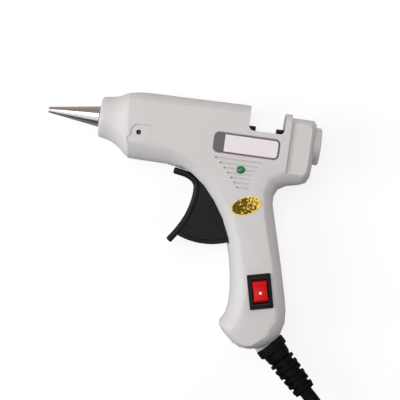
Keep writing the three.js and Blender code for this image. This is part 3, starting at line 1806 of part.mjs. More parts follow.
// The part's origin is under the middle of the gun's own box, on the surface it lies on
const box = new THREE.Box3().setFromObject(gun);
const part = new THREE.Group();
part.add(gun, cord);
part.position.set(-(box.min.x + box.max.x) / 2, -(box.min.y + box.max.y) / 2, -box.min.z);

export default part;
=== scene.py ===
"""Looks of a small trigger-fed hot glue gun that lies on its right side, its cord coiled beside it.

Lengths in the constants are millimetres in the gun's own construction frame: x = 0 at the collar's
front face, y = 0 on the feed axis, z = 0 on the surface it lies on.
"""

import json
import math

import bmesh
import bpy
from mathutils import Matrix, Vector


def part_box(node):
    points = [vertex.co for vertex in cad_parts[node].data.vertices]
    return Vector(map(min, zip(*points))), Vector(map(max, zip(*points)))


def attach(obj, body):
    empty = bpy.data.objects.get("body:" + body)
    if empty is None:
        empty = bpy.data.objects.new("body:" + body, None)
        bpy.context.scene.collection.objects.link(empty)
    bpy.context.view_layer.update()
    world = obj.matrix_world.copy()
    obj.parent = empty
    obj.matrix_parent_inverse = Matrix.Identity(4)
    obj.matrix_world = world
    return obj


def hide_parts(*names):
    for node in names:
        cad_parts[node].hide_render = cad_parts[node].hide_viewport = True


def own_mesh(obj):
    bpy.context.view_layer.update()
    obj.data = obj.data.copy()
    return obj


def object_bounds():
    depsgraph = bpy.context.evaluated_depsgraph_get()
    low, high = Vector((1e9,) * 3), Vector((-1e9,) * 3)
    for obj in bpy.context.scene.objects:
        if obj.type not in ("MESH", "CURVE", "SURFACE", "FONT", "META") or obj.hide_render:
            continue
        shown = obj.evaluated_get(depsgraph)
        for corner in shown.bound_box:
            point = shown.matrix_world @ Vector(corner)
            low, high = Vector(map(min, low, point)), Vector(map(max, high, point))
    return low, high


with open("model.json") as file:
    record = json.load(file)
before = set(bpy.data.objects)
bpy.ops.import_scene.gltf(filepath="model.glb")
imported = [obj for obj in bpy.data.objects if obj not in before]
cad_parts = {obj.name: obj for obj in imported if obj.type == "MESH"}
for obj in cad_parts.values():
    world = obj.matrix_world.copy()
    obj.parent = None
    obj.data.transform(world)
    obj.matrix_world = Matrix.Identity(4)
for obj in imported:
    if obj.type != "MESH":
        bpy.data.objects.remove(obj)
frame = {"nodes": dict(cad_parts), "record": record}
CAD_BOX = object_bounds()
NODES = frame["nodes"]

MM = 0.001
GAP = 0.3
HOUSING_LENGTH = 104.3
GRIP_DROP = 98.6
THICKNESS = 26.0
MID = THICKNESS / 2
INLET_END = HOUSING_LENGTH - 0.6
GLAND = Vector((0.8926 * HOUSING_LENGTH, -0.9635 * GRIP_DROP, MID))
GLAND_ANGLE = math.radians(-44.5)
RELIEF_LENGTH = 28.5
CORD_RADIUS = 3.25
SWITCH = (0.817 * HOUSING_LENGTH, -0.717 * GRIP_DROP, THICKNESS)
SWITCH_TILT = 13.3
PLUG_END = Vector((50.0, -211.0, 7.0))
COIL = Vector((101.0, -173.0, 0.0))
COIL_RADIUS = 43.5
COIL_PITCH = 7.0
COIL_TURNS = 6 + 110 / 360
COIL_ENTRY = math.radians(20)
COIL_CLIMB = 0.5
COIL_LOW = 0.6 + GAP + CORD_RADIUS
STEPS_PER_TURN = 24

# The construction frame sits in the row frame by the rear guide's place
_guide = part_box("rear_guide")
SHIFT = Vector(
    (
        _guide[1][0] / MM - INLET_END,
        (_guide[0][1] + _guide[1][1]) / 2 / MM,
        0.0,
    )
)


def at(x, y, z):
    """A point of the construction frame, in metres in the row frame."""
    return (Vector((x, y, z)) + SHIFT) * MM


# Camera, straight over the gun, at the photograph's turn
VIEW_TURN = math.radians(7.9)
VIEW_CENTRE = (51.8, -32.5)
VIEW_FIELD = 188.9
VIEW_DISTANCE = 700.0

camera_data = bpy.data.cameras.new("camera")
camera_data.sensor_width = 36
camera_data.lens = camera_data.sensor_width * VIEW_DISTANCE / VIEW_FIELD
camera_data.clip_end = 20
camera = bpy.data.objects.new("camera", camera_data)
camera.location = at(*VIEW_CENTRE, MID + VIEW_DISTANCE)
camera.rotation_euler = (0, 0, VIEW_TURN)
bpy.context.scene.collection.objects.link(camera)
bpy.context.scene.camera = camera


# Curves and meshes
def catmull(points, steps):
    """Points along a centripetal Catmull-Rom curve through the given ones."""
    points = [Vector(p) for p in points]
    first = points[0] * 2 - points[1]
    last = points[-1] * 2 - points[-2]
    padded = [first, *points, last]
    made = []
    for i in range(1, len(padded) - 2):
        p0, p1, p2, p3 = padded[i - 1 : i + 3]
        d0 = max((p1 - p0).length ** 0.5, 1e-6)
        d1 = max((p2 - p1).length ** 0.5, 1e-6)
        d2 = max((p3 - p2).length ** 0.5, 1e-6)
        m1 = ((p1 - p0) / d0 - (p2 - p0) / (d0 + d1) + (p2 - p1) / d1) * d1
        m2 = ((p2 - p1) / d1 - (p3 - p1) / (d1 + d2) + (p3 - p2) / d2) * d1
        for k in range(steps):
            t = k / steps
            t2, t3 = t * t, t * t * t
            made.append(
                p1 * (2 * t3 - 3 * t2 + 1)
                + m1 * (t3 - 2 * t2 + t)
                + p2 * (3 * t2 - 2 * t3)
                + m2 * (t3 - t2)
            )
    made.append(points[-1])
    return made


def soften(points, reach, steps=3, closed=True):
    """Corners of a flat line rounded off, each within half of its shorter side."""
    points = [Vector(p) for p in points]
    made = []
    for i, corner in enumerate(points):
        if not closed and i in (0, len(points) - 1):
            made.append(corner)
            continue
        before = points[i - 1] - corner
        after = points[(i + 1) % len(points)] - corner
        near = min(reach, before.length * 0.45, after.length * 0.45)
        start = corner + before.normalized() * near
        end = corner + after.normalized() * near
        for k in range(steps + 1):
            t = k / steps
            made.append(start * (1 - t) ** 2 + corner * 2 * t * (1 - t) + end * t * t)
    return made


def moved_in(points, distance):
    """A closed anticlockwise outline moved in by a distance."""
    points = [Vector(p) for p in points]
    made = []
    for i, point in enumerate(points):
        before = (point - points[i - 1]).normalized()
        after = (points[(i + 1) % len(points)] - point).normalized()
        reach = distance / max(1 + before.dot(after), 0.3)
        x = point.x - (before.y + after.y) * reach
        y = point.y + (before.x + after.x) * reach
        made.append(Vector((x, y)))
    return made


def smoothstep(t):
    """Zero up to 0, one from 1, smooth between."""
    t = min(max(t, 0), 1)
    return t * t * (3 - 2 * t)


def rounded_rectangle(length, height, corner, steps=6):
    """A rectangle about the origin with round corners, anticlockwise."""
    made = []
    for turn, (right, up) in enumerate(((1, 1), (-1, 1), (-1, -1), (1, -1))):
        middle = Vector((right * (length / 2 - corner), up * (height / 2 - corner)))
        for k in range(steps + 1):
            angle = (turn + k / steps) * math.pi / 2
            made.append(middle + Vector((math.cos(angle), math.sin(angle))) * corner)
    return made


def arc(radius, start, end, steps, centre=(0, 0)):
    """Points on a circle between two angles in degrees."""
    angles = [math.radians(start + (end - start) * k / steps) for k in range(steps + 1)]
    return [Vector(centre) + Vector((math.cos(a), math.sin(a))) * radius for a in angles]


def circle(radius, steps, centre=(0, 0)):
    """Points all round a circle."""
    return arc(radius, 0, 360, steps, centre)[:-1]


class Form:
    """Closed skins of one piece, in millimetres."""

    def __init__(self):
        self.points = []
        self.faces = []

    def skin(self, rings, capped=True, looped=False):
        """A skin through rings of equally many points."""
        base = len(self.points)
        count = len(rings[0])
        self.points += [Vector(p).to_3d() for ring in rings for p in ring]
        last = len(rings) if looped else len(rings) - 1
        for r in range(last):
            lower = base + r * count
            upper = base + (r + 1) % len(rings) * count
            for i in range(count):
                j = (i + 1) % count
                self.faces.append((lower + i, lower + j, upper + j, upper + i))
        if capped and not looped:
            self.faces.append(tuple(base + i for i in reversed(range(count))))
            self.faces.append(tuple(base + (len(rings) - 1) * count + i for i in range(count)))
        return self

    def prism(self, outline, low, high, edge=0.3):
        """A plate between two heights with rounded edges."""
        rings = []
        for height, way in ((low, 1), (high, -1)):
            steps = [(1, 0), (0.62, 0.08), (0.29, 0.29), (0.08, 0.62), (0, 1)]
            for inset, rise in steps if way > 0 else reversed(steps):
                level = height + way * rise * edge
                rings.append([Vector((p.x, p.y, level)) for p in moved_in(outline, inset * edge)])
        return self.skin(rings)

    def lathe(self, profile, sides=64):
        """A revolved line of along and radius, about X."""
        looped = Vector(profile[0]) == Vector(profile[-1])
        line = profile[:-1] if looped else profile
        turns = [2 * math.pi * i / sides for i in range(sides)]
        rings = [[(x, r * math.cos(t), r * math.sin(t)) for t in turns] for x, r in line]
        return self.skin(rings, capped=False, looped=looped)

    def moved(self, matrix):
        self.points = [matrix @ p for p in self.points]
        return self

    def mesh(self, name, angle=35):
        """The mesh in the row frame, smooth but for its sharp edges."""
        mesh = bpy.data.meshes.new(name)
        mesh.from_pydata([tuple(at(*p)) for p in self.points], [], self.faces)
        work = bmesh.new()
        work.from_mesh(mesh)
        bmesh.ops.remove_doubles(work, verts=work.verts, dist=1e-7)
        bmesh.ops.dissolve_degenerate(work, edges=work.edges, dist=1e-8)
        bmesh.ops.recalc_face_normals(work, faces=work.faces)
        work.to_mesh(mesh)
        work.free()
        smooth(mesh, angle)
        return mesh


def smooth(mesh, angle):
    """Smooth shading but for edges sharper than an angle in degrees."""
    mesh.polygons.foreach_set("use_smooth", [True] * len(mesh.polygons))
    mesh.set_sharp_from_angle(angle=math.radians(angle))


def evaluated_mesh(obj):
    """The mesh that an object's modifiers or bevel make."""
    graph = bpy.context.evaluated_depsgraph_get()
    return bpy.data.meshes.new_from_object(obj.evaluated_get(graph))


def combined(name, base, joins=(), cuts=(), angle=35):
    """One form joined with others and cut by others, as a mesh."""
    made = bpy.data.objects.new(name + "_work", base.mesh(name + "_work"))
    bpy.context.scene.collection.objects.link(made)
    helpers = []
    for operation, forms in (("UNION", joins), ("DIFFERENCE", cuts)):
        for form in forms:
            helper = bpy.data.objects.new("helper", form.mesh("helper"))
            bpy.context.scene.collection.objects.link(helper)
            helpers.append(helper)
            modifier = made.modifiers.new(operation, "BOOLEAN")
            modifier.operation = operation
            modifier.solver = "EXACT"
            modifier.object = helper
    bpy.context.view_layer.update()
    result = evaluated_mesh(made)
    result.name = name
    for obj in (made, *helpers):
        mesh = obj.data
        bpy.data.objects.remove(obj)
        bpy.data.meshes.remove(mesh)
    result.materials.clear()
    smooth(result, angle)
    return result


def add(name, mesh, material=None):
    """A mesh or curve as a piece of the scene."""
    obj = bpy.data.objects.new(name, mesh)
    bpy.context.scene.collection.objects.link(obj)
    if material:
        mesh.materials.append(material)
    return obj


def piece(name, mesh, material, body, slot, *nodes):
    """A piece that rides on a body and stands for CAD nodes."""
    obj = add(name, mesh, material)
    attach(obj, body)
    if nodes:
        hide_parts(*nodes)
    return obj


# Cord: from the strain relief, along the floor, round the coil and into the plug
LEAD_ROUTE = [
    (123, -124.9, 12.4),
    (128.1, -130.9, 9.9),
    (132.7, -137.4, 6.9),
    (136.3, -144, 4.8),
    (138.2, -148.2, 4.2),
]
TAIL_ROUTE = [
    (88, -216.2, 10.9),
    (80, -215, 10),
    (72, -213.3, 8.7),
    (64, -211.8, 7.5),
    (57, -211.1, 7.1),
]


def gland_place(along):
    """Point on the strain relief's axis, some way out of the housing."""
    return GLAND + Vector((math.cos(GLAND_ANGLE), math.sin(GLAND_ANGLE), 0)) * along


def coil_point(turns):
    """Point on the coil after some turns: spiral in on the floor, climb, spiral out on top."""
    middle = COIL_TURNS / 2
    radius = COIL_RADIUS - COIL_PITCH * (middle - abs(turns - middle))
    climbed = smoothstep((turns - middle) / COIL_CLIMB + 0.5)
    angle = COIL_ENTRY - turns * 2 * math.pi
    across = (radius * math.cos(angle), radius * math.sin(angle))
    return COIL + Vector((*across, COIL_LOW + COIL_PITCH * climbed))


def cord_points():
    """The cord's route, straight for a way at the strain relief and at both ends of the coil."""
    straight = 2 * CORD_RADIUS
    count = round(COIL_TURNS * STEPS_PER_TURN)
    coil = [coil_point(i / count * COIL_TURNS) for i in range(count + 1)]
    enter = Vector((math.sin(COIL_ENTRY), -math.cos(COIL_ENTRY), 0))
    leave = Vector((-1, 0, 0))
    return [
        gland_place(RELIEF_LENGTH),
        gland_place(RELIEF_LENGTH + GAP + straight),
        *[Vector(p) for p in LEAD_ROUTE],
        coil[0] - enter * straight,
        *coil,
        coil[-1] + leave * straight,
        *[Vector(p) for p in TAIL_ROUTE],
        PLUG_END,
    ]


def tube_mesh(name, path, radius):
    """A round tube along a path in the row frame."""
    data = bpy.data.curves.new(name, "CURVE")
    data.dimensions = "3D"
    spline = data.splines.new("POLY")
    spline.points.add(len(path) - 1)
    for point, place in zip(spline.points, path):
        point.co = (*place, 1)
    data.bevel_depth = radius
    data.bevel_resolution = 6
    data.use_fill_caps = True
    line = bpy.data.objects.new(name + "_line", data)
    bpy.context.scene.collection.objects.link(line)
    mesh = evaluated_mesh(line)
    mesh.name = name
    bpy.data.objects.remove(line)
    bpy.data.curves.remove(data)
    smooth(mesh, 50)
    return mesh


cord_path = [at(*p) for p in catmull(cord_points(), 3)]
cord = add("cord", tube_mesh("cord", cord_path, CORD_RADIUS * MM))
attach(cord, "housing")
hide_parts("cord_lead", "cord_coil", "cord_tail")


# Materials
class Shader:
    """Builds a Principled material out of procedural nodes, with lengths in metres."""

    def __init__(self, name, color, roughness, metallic=0.0, **constants):
        self.material = bpy.data.materials.new(name)
        self.material.use_nodes = True
        self.nodes = self.material.node_tree.nodes
        self.links = self.material.node_tree.links
        self.body = self.nodes["Principled BSDF"]
        self.body.inputs["Base Color"].default_value = (*color, 1)
        self.body.inputs["Roughness"].default_value = roughness
        self.body.inputs["Metallic"].default_value = metallic
        for key, value in constants.items():
            self.body.inputs[key].default_value = value
        self.color = color
        self.roughness = roughness
        self.space = self.nodes.new("ShaderNodeTexCoord").outputs["Object"]
        self.height = None

    def new(self, kind, inputs=None, **settings):
        """A node with its settings, its inputs linked or set."""
        node = self.nodes.new("ShaderNode" + kind)
        for key, value in settings.items():
            setattr(node, key, value)
        for key, value in (inputs or {}).items():
            if isinstance(value, bpy.types.NodeSocket):
                self.links.new(value, node.inputs[key])
            else:
                node.inputs[key].default_value = value
        return node

    def math(self, operation, a, b=0.0):
        return self.new("Math", {0: a, 1: b}, operation=operation).outputs[0]

    def noise(self, scale, detail=3.0, roughness=0.5, stretch=None):
        """Noise from 0 to 1, at a scale in cells a metre."""
        vector = self.space
        if stretch:
            vector = self.new("Mapping", {"Vector": vector, "Scale": stretch}).outputs[0]
        inputs = {"Vector": vector, "Scale": scale, "Detail": detail, "Roughness": roughness}
        return self.new("TexNoise", inputs).outputs["Fac"]

    def mottle(self, factor, shift, low=0.35, high=0.65):
        """Colour runs to a shifted one where the factor is high."""
        inputs = {"Value": factor, "From Min": low, "From Max": high}
        shifted = tuple(min(max(c * s, 0), 1) for c, s in zip(self.color, shift))
        return self.painted(self.new("MapRange", inputs).outputs[0], shifted)

    def vary_roughness(self, factor, amount):
        """Roughness runs an amount down and up with the factor."""
        inputs = {
            "Value": factor,
            "From Min": 0.3,
            "From Max": 0.7,
            "To Min": max(self.roughness - amount, 0.02),
            "To Max": min(self.roughness + amount, 1),
        }
        self.links.new(self.new("MapRange", inputs).outputs[0], self.body.inputs["Roughness"])
        return self

    def bump(self, factor, depth, strength=1.0):
        """Adds a relief of the given depth in metres."""
        inputs = {"Height": factor, "Distance": depth, "Strength": strength}
        if self.height is not None:
            inputs["Normal"] = self.height
        self.height = self.new("Bump", inputs).outputs[0]
        self.links.new(self.height, self.body.inputs["Normal"])
        return self

    def local(self, centre, turn=0.0):
        """Sockets for along, across and above a mark in construction millimetres."""
        turn = -math.radians(turn)
        inputs = {
            "Vector": self.space,
            "Scale": (1 / MM,) * 3,
            "Rotation": (0, 0, turn),
            "Location": -(Matrix.Rotation(turn, 3, "Z") @ (Vector(centre) + SHIFT)),
        }
        return self.new("SeparateXYZ", {"Vector": self.new("Mapping", inputs).outputs[0]}).outputs

    def squares(self, along, across):
        """Sum of the squares of two sockets."""
        return self.math("ADD", *[self.math("POWER", value, 2) for value in (along, across)])

    def inside(self, along, across, length, height, corner):
        """Distance in from the edge of a rounded rectangle, up to its corner radius."""
        past = []
        for value, size in ((along, length), (across, height)):
            away = self.math("SUBTRACT", self.math("ABSOLUTE", value), size / 2 - corner)
            past.append(self.math("MAXIMUM", away, 0))
        return self.math("SUBTRACT", corner, self.math("SQRT", self.squares(*past)))

    def ramp(self, value, low, high):
        """Zero at low, one at high, smooth between."""
        inputs = {"Value": value, "From Min": low, "From Max": high}
        return self.new("MapRange", inputs, interpolation_type="SMOOTHSTEP").outputs[0]

    def painted(self, mask, color):
        """Another colour where the mask is one."""
        source = self.body.inputs["Base Color"]
        mix = self.new("Mix", {"Factor": mask}, data_type="RGBA")
        if source.is_linked:
            self.links.new(source.links[0].from_socket, mix.inputs[6])
        else:
            mix.inputs[6].default_value = source.default_value
        mix.inputs[7].default_value = (*color, 1)
        self.links.new(mix.outputs[2], source)
        return self

    def soft_edges(self, radius):
        """Rounds the look of edges, before any bump is added."""
        self.height = self.new("Bevel", {"Radius": radius}, samples=6).outputs[0]
        self.links.new(self.height, self.body.inputs["Normal"])
        return self


def moulded_shader(
    name, color, roughness, grain=0.00002, shift=(0.97, 0.965, 0.96), edge=0.0003, **constants
):
    """Moulded plastic: fine spark texture, faint flow marks, soft edges."""
    shader = Shader(name, color, roughness, **constants)
    shader.soft_edges(edge)
    shader.mottle(shader.noise(38, 4, 0.6), shift)
    shader.vary_roughness(shader.noise(160, 5, 0.65), 0.06)
    shader.bump(shader.noise(5200, 2), grain)
    shader.bump(shader.noise(420, 3), grain * 1.5, 0.5)
    return shader


def moulded(*values, **constants):
    """A moulded plastic as a material."""
    return moulded_shader(*values, **constants).material


PLATE_PLACE = (0.669 * HOUSING_LENGTH, -4.65, THICKNESS)
PLATE_SIZE = (30.4, 9.3, 2.3)
FOIL_PLACE = (0.703 * HOUSING_LENGTH, -0.3276 * GRIP_DROP, THICKNESS)
FOIL_SIZE = (14.4, 8.2)
FOIL_TILT = 23.0
DOT_DROP = 0.65
STAND_HOLE = (0.185 * HOUSING_LENGTH, -0.053 * GRIP_DROP, THICKNESS)

# Painted marks: where each starts to show and where it is full
BORE_SHADE_FADE = (1.3, 1.05)
BORDER_FADE = (0.78, 0.58)
BAND_FADE = (-10.2, -10.45)
FOIL_FADE = (0.92, 0.78)
DOT_FADE = (0.72, 0.52)


def shell_material():
    """Pale grey shell, with painted shade down the bores of its stand holes."""
    shader = moulded_shader("shell", (0.598, 0.586, 0.582), 0.48, 0.000012)
    along, across, _ = shader.local(STAND_HOLE)
    away = shader.math("SQRT", shader.squares(along, across))
    # Painted shade: near black within the stand hole's bore, standing in for the shade down in it
    shader.painted(shader.ramp(away, *BORE_SHADE_FADE), (0.02, 0.02, 0.02))
    return shader.material


def metal(
    name, color, roughness, shift=(0.85, 0.83, 0.82), brushed=None, depth=0.00001, edge=0.0002
):
    """Metal with fine marks, stretched along the brushing."""
    shader = Shader(name, color, roughness, 1.0)
    shader.soft_edges(edge)
    marks = shader.noise(900, 4, 0.6, brushed)
    shader.mottle(shader.noise(120, 4), shift)
    shader.vary_roughness(marks, 0.1)
    shader.bump(marks, depth)
    return shader.material


DULL = {"Specular IOR Level": 0.12}
DULLEST = {"Specular IOR Level": 0.06}
SHELL = shell_material()
NYLON = moulded(
    "nylon", (0.0055, 0.005, 0.006), 0.27, 0.00002, (1.6, 1.6, 1.6), 0.00025, **DULL
)
SWITCH_BLACK = moulded(
    "switch_black", (0.005, 0.005, 0.006), 0.28, 0.000008, (1.5, 1.5, 1.5), 0.00025, **DULL
)
CORD_BLACK = moulded(
    "cord_black", (0.0025, 0.0025, 0.003), 0.4, 0.00003, (1.8, 1.8, 1.8), **DULLEST
)
NOZZLE = metal(
    "nozzle_metal", (0.8, 0.77, 0.76), 0.16, (0.93, 0.92, 0.91), (1, 0.05, 0.05), 0.0000015
)
CHAMBER = metal("chamber_metal", (0.17, 0.17, 0.175), 0.5)
STEEL = metal("steel_plain", (0.45, 0.45, 0.46), 0.32)
BRASS = metal("brass_plain", (0.55, 0.38, 0.12), 0.3, (0.8, 0.78, 0.7))
CERAMIC = moulded("ceramic_body", (0.75, 0.71, 0.63), 0.75, 0.00004)
FILM = moulded("amber_wrap", (0.42, 0.16, 0.025), 0.25, 0.000004)
SILICONE = moulded("silicone_red", (0.35, 0.075, 0.03), 0.6, 0.00002)
LENS = moulded("lens_green", (0.003, 0.17, 0.045), 0.08, 0.000001, (1.2, 1.4, 1.2), 0.0002)
BOARD = moulded("board", (0.03, 0.15, 0.06), 0.4, 0.00001)
WIRE = moulded("wire", (0.75, 0.73, 0.68), 0.45, 0.00001)


def plate_material():
    """Blank printed plate: pale field, dark border and a dark band at its left end."""
    shader = Shader("plate", (0.8, 0.74, 0.77), 0.42)
    shader.soft_edges(0.0001)
    shader.mottle(shader.noise(300, 3), (0.97, 0.96, 0.965))
    along, across, _ = shader.local(PLATE_PLACE)
    edge = shader.inside(along, across, *PLATE_SIZE)
    border = shader.ramp(edge, *BORDER_FADE)
    band = shader.ramp(along, *BAND_FADE)
    shader.painted(shader.math("MAXIMUM", border, band), (0.1, 0.075, 0.085))
    shader.vary_roughness(shader.noise(500, 4), 0.08)
    shader.bump(shader.noise(3000, 2), 0.000003)
    return shader.material


def foil_material():
    """Blank gold foil oval: darker patches over its middle, more towards its left end, inside a
    bright rim; crumpled in relief all over.
    """
    shader = Shader("foil", (0.6, 0.385, 0.075), 0.3, 1.0)
    along, across, _ = shader.local(FOIL_PLACE, FOIL_TILT)
    shares = [shader.math("DIVIDE", v, size / 2) for v, size in zip((along, across), FOIL_SIZE)]
    middle = shader.ramp(shader.squares(*shares), *FOIL_FADE)
    tilted = shader.math("ADD", shader.noise(800, 4, 0.6), shader.math("MULTIPLY", along, 0.014))
    # The middle is painted darker in noise patches, with more of them towards the left end
    dark_patches = shader.ramp(tilted, 0.6, 0.5)
    shader.painted(shader.math("MULTIPLY", middle, dark_patches), (0.07, 0.045, 0.008))
    shader.vary_roughness(shader.noise(900, 4), 0.12)
    shader.bump(shader.noise(1100, 5, 0.7), 0.00012)
    return shader.material


def rocker_material():
    """Glossy red with a plain white dot just below its middle."""
    shader = Shader("rocker_red", (0.6, 0.006, 0.008), 0.3, **{"Specular IOR Level": 0.12})
    shader.soft_edges(0.0004)
    shader.mottle(shader.noise(60, 4), (0.92, 0.8, 0.8))
    along, across, _ = shader.local(SWITCH, SWITCH_TILT)
    across = shader.math("ADD", across, DOT_DROP)
    away = shader.math("SQRT", shader.squares(along, across))
    shader.painted(shader.ramp(away, *DOT_FADE), (0.85, 0.82, 0.8))
    shader.vary_roughness(shader.noise(400, 4), 0.05)
    shader.bump(shader.noise(5200, 2), 0.000004)
    return shader.material


PLATE = plate_material()
FOIL = foil_material()
ROCKER_RED = rocker_material()

FINISH = {
    "shell_grey": SHELL,
    "black_nylon": NYLON,
    "nozzle_alloy": NOZZLE,
    "chamber_alloy": CHAMBER,
    "steel": STEEL,
    "brass": BRASS,
    "ceramic": CERAMIC,
    "amber_film": FILM,
    "silicone": SILICONE,
    "switch_red": ROCKER_RED,
    "green_lens": LENS,
    "board_green": BOARD,
    "wire_white": WIRE,
    "cord_black": CORD_BLACK,
    "plate_white": PLATE,
    "foil_gold": FOIL,
}
for part in frame["record"]["subparts"]:
    node = NODES[part["node"]]
    node.data.materials.clear()
    node.data.materials.append(FINISH[part["material_slot"]])
cord.data.materials.append(CORD_BLACK)


WELD_REACH = 0.002
SHELL_ANGLE = 38
EDGE_ANGLE = 32


def shade_smooth(node, angle):
    """Smooth shading over a CAD node's joined facets, but for its edges; its vertices stay."""
    normals = node.data.attributes.get("custom_normal")
    if normals:
        node.data.attributes.remove(normals)
    node.data.polygons.foreach_set("use_smooth", [True] * len(node.data.polygons))
    weld = node.modifiers.new("weld", "WELD")
    weld.merge_threshold = WELD_REACH * MM
    edges = node.modifiers.new("edges", "EDGE_SPLIT")
    edges.split_angle = math.radians(angle)
    edges.use_edge_sharp = False
    node.modifiers.new("even", "WEIGHTED_NORMAL")


for name, node in NODES.items():
    shade_smooth(node, SHELL_ANGLE if name.endswith("shell") else EDGE_ANGLE)


def placed(x, y, z, turn=0.0):
    """Moves a form to a place in the construction frame, turned about Z by degrees."""
    return Matrix.Translation((x, y, z)) @ Matrix.Rotation(math.radians(turn), 4, "Z")


# Nozzle: drawn cone with a lip at its mouth, and the seat behind it
NOZZLE_LENGTH = 24.8
NOZZLE_MOUTH = 1.35
NOZZLE_BASE = 4.9
NOZZLE_CLEAR = 0.5
NOZZLE_JET = 0.7
NOZZLE_JET_LENGTH = 2.9
NOZZLE_SEAT = 3.6
NOZZLE_SEAT_END = 11.2
NOZZLE_FEED = 2.4
NOZZLE_EDGE = 0.3


def nozzle_mesh():
    """One turned piece, bored through to its jet."""
    profile = soften(
        [
            (-NOZZLE_LENGTH, NOZZLE_JET),
            (-NOZZLE_LENGTH, NOZZLE_MOUTH),
            (-NOZZLE_CLEAR, NOZZLE_BASE),
            (-NOZZLE_CLEAR, NOZZLE_SEAT),
            (NOZZLE_SEAT_END, NOZZLE_SEAT),
            (NOZZLE_SEAT_END, NOZZLE_FEED),
            (0, NOZZLE_FEED),
            (NOZZLE_JET_LENGTH - NOZZLE_LENGTH, NOZZLE_JET),
        ],
        NOZZLE_EDGE,
    )
    turned = Form().lathe([*profile, profile[0]], 72)
    return turned.moved(placed(0, 0, MID)).mesh("nozzle_turned")


piece("nozzle_turned", nozzle_mesh(), NOZZLE, "housing", "nozzle_alloy", "nozzle")

# Trigger: swept finger ridge, two cheeks with a raised rim, hub and fork
PIVOT = (0.534 * HOUSING_LENGTH, -0.1978 * GRIP_DROP)
TRIGGER_REACH = 33.0
TRIGGER_HALF = 7.8
RIDGE_THICKNESS = 3.0
RIDGE_EDGE = 1.15
CHEEK_INSIDE = 6.0
CHEEK_SINK = 0.5
RIM_WIDTH = 2.0
HUB_RADIUS = 4.2
HUB_SINK = 0.05
PIN_HOLE = 2.2
FORK_LEAN = 78.0
FORK_NEAR = 19.2
FORK_FAR = 20.24
FORK_ARM = 2.6
FORK_SINK = 0.02
FORK_EYE = 3.1
FORK_SLOT = 1.75
MARKS = [(-8.2, -26.6), (11.0, -25.2)]
MARK_RADIUS = 1.35
MARK_SINK = 0.24
DISH_RADIUS = 0.9
DISH_SINK = 0.6
CUT_REACH = 9
CUT_EDGE = 0.01

# Line of the ridge from its top end down, round the pin, in shares of the trigger's reach
RIDGE_SHARES = [
    (-0.542, -0.022),
    (-0.352, -0.058),
    (-0.248, -0.114),
    (-0.2, -0.182),
    (-0.189, -0.252),
    (-0.194, -0.367),
    (-0.217, -0.491),
    (-0.261, -0.635),
    (-0.329, -0.779),
    (-0.406, -0.906),
    (-0.485, -1.018),
]

# Scale and step along the line of the rings that round off the ridge's two ends
RIDGE_TOP = [(0.7, -0.1), (0.88, 0.15), (1, 0.5)]
RIDGE_TOE = [(1, -0.5), (0.88, -0.15), (0.7, 0.1)]


def ridge_form():
    """Rounded bar swept along the ridge's line, its ends rounded off."""
    line = catmull([Vector((x, y, 0)) * TRIGGER_REACH for x, y in RIDGE_SHARES], 5)
    section = rounded_rectangle(RIDGE_THICKNESS, 2 * TRIGGER_HALF, RIDGE_EDGE, 5)
    last = len(line) - 1
    rings = []
    for i, point in enumerate(line):
        heading = (line[min(i + 1, last)] - line[max(i - 1, 0)]).normalized()
        out = Vector((heading.y, -heading.x, 0))
        for scale, along in {0: RIDGE_TOP, last: RIDGE_TOE}.get(i, [(1, 0)]):
            inset = (1 - scale) * RIDGE_THICKNESS / 2
            ring = []
            for p in section:
                across = out * (p.x - math.copysign(inset, p.x))
                up = Vector((0, 0, p.y - math.copysign(inset, p.y)))
                ring.append(point + heading * along + across + up)
            rings.append(ring)
    return Form().skin(rings)


def cheek_outline():
    """From behind the ridge down to the lower edge, and up to the hub."""
    line = catmull([Vector((x, y)) * TRIGGER_REACH for x, y in RIDGE_SHARES], 4)
    hub = [Vector(p) for p in ((HUB_RADIUS, 0), (0, HUB_RADIUS), (-HUB_RADIUS, 0.8))]
    return [*line[9:34:2], *arc(TRIGGER_REACH, -113, -64, 14), *hub]


def fork_turned(points):
    """Points along the fork's arm, turned to its lean."""
    turn = Matrix.Rotation(math.radians(FORK_LEAN), 2)
    return [turn @ Vector(p) for p in points]


def fork_outline(radius, steps):
    """Long round outline about the run of the fork's slot."""
    far = arc(radius, -90, 90, steps, (FORK_FAR, 0))
    near = arc(radius, 90, 270, steps, (FORK_NEAR, 0))
    return fork_turned([*far, *near])


def slab(shape, near, far, edge, side):
    """A plate between two distances from the trigger's middle, on one side of it."""
    low, high = (near, far) if side > 0 else (-far, -near)
    return Form().prism(shape, low, high, edge)


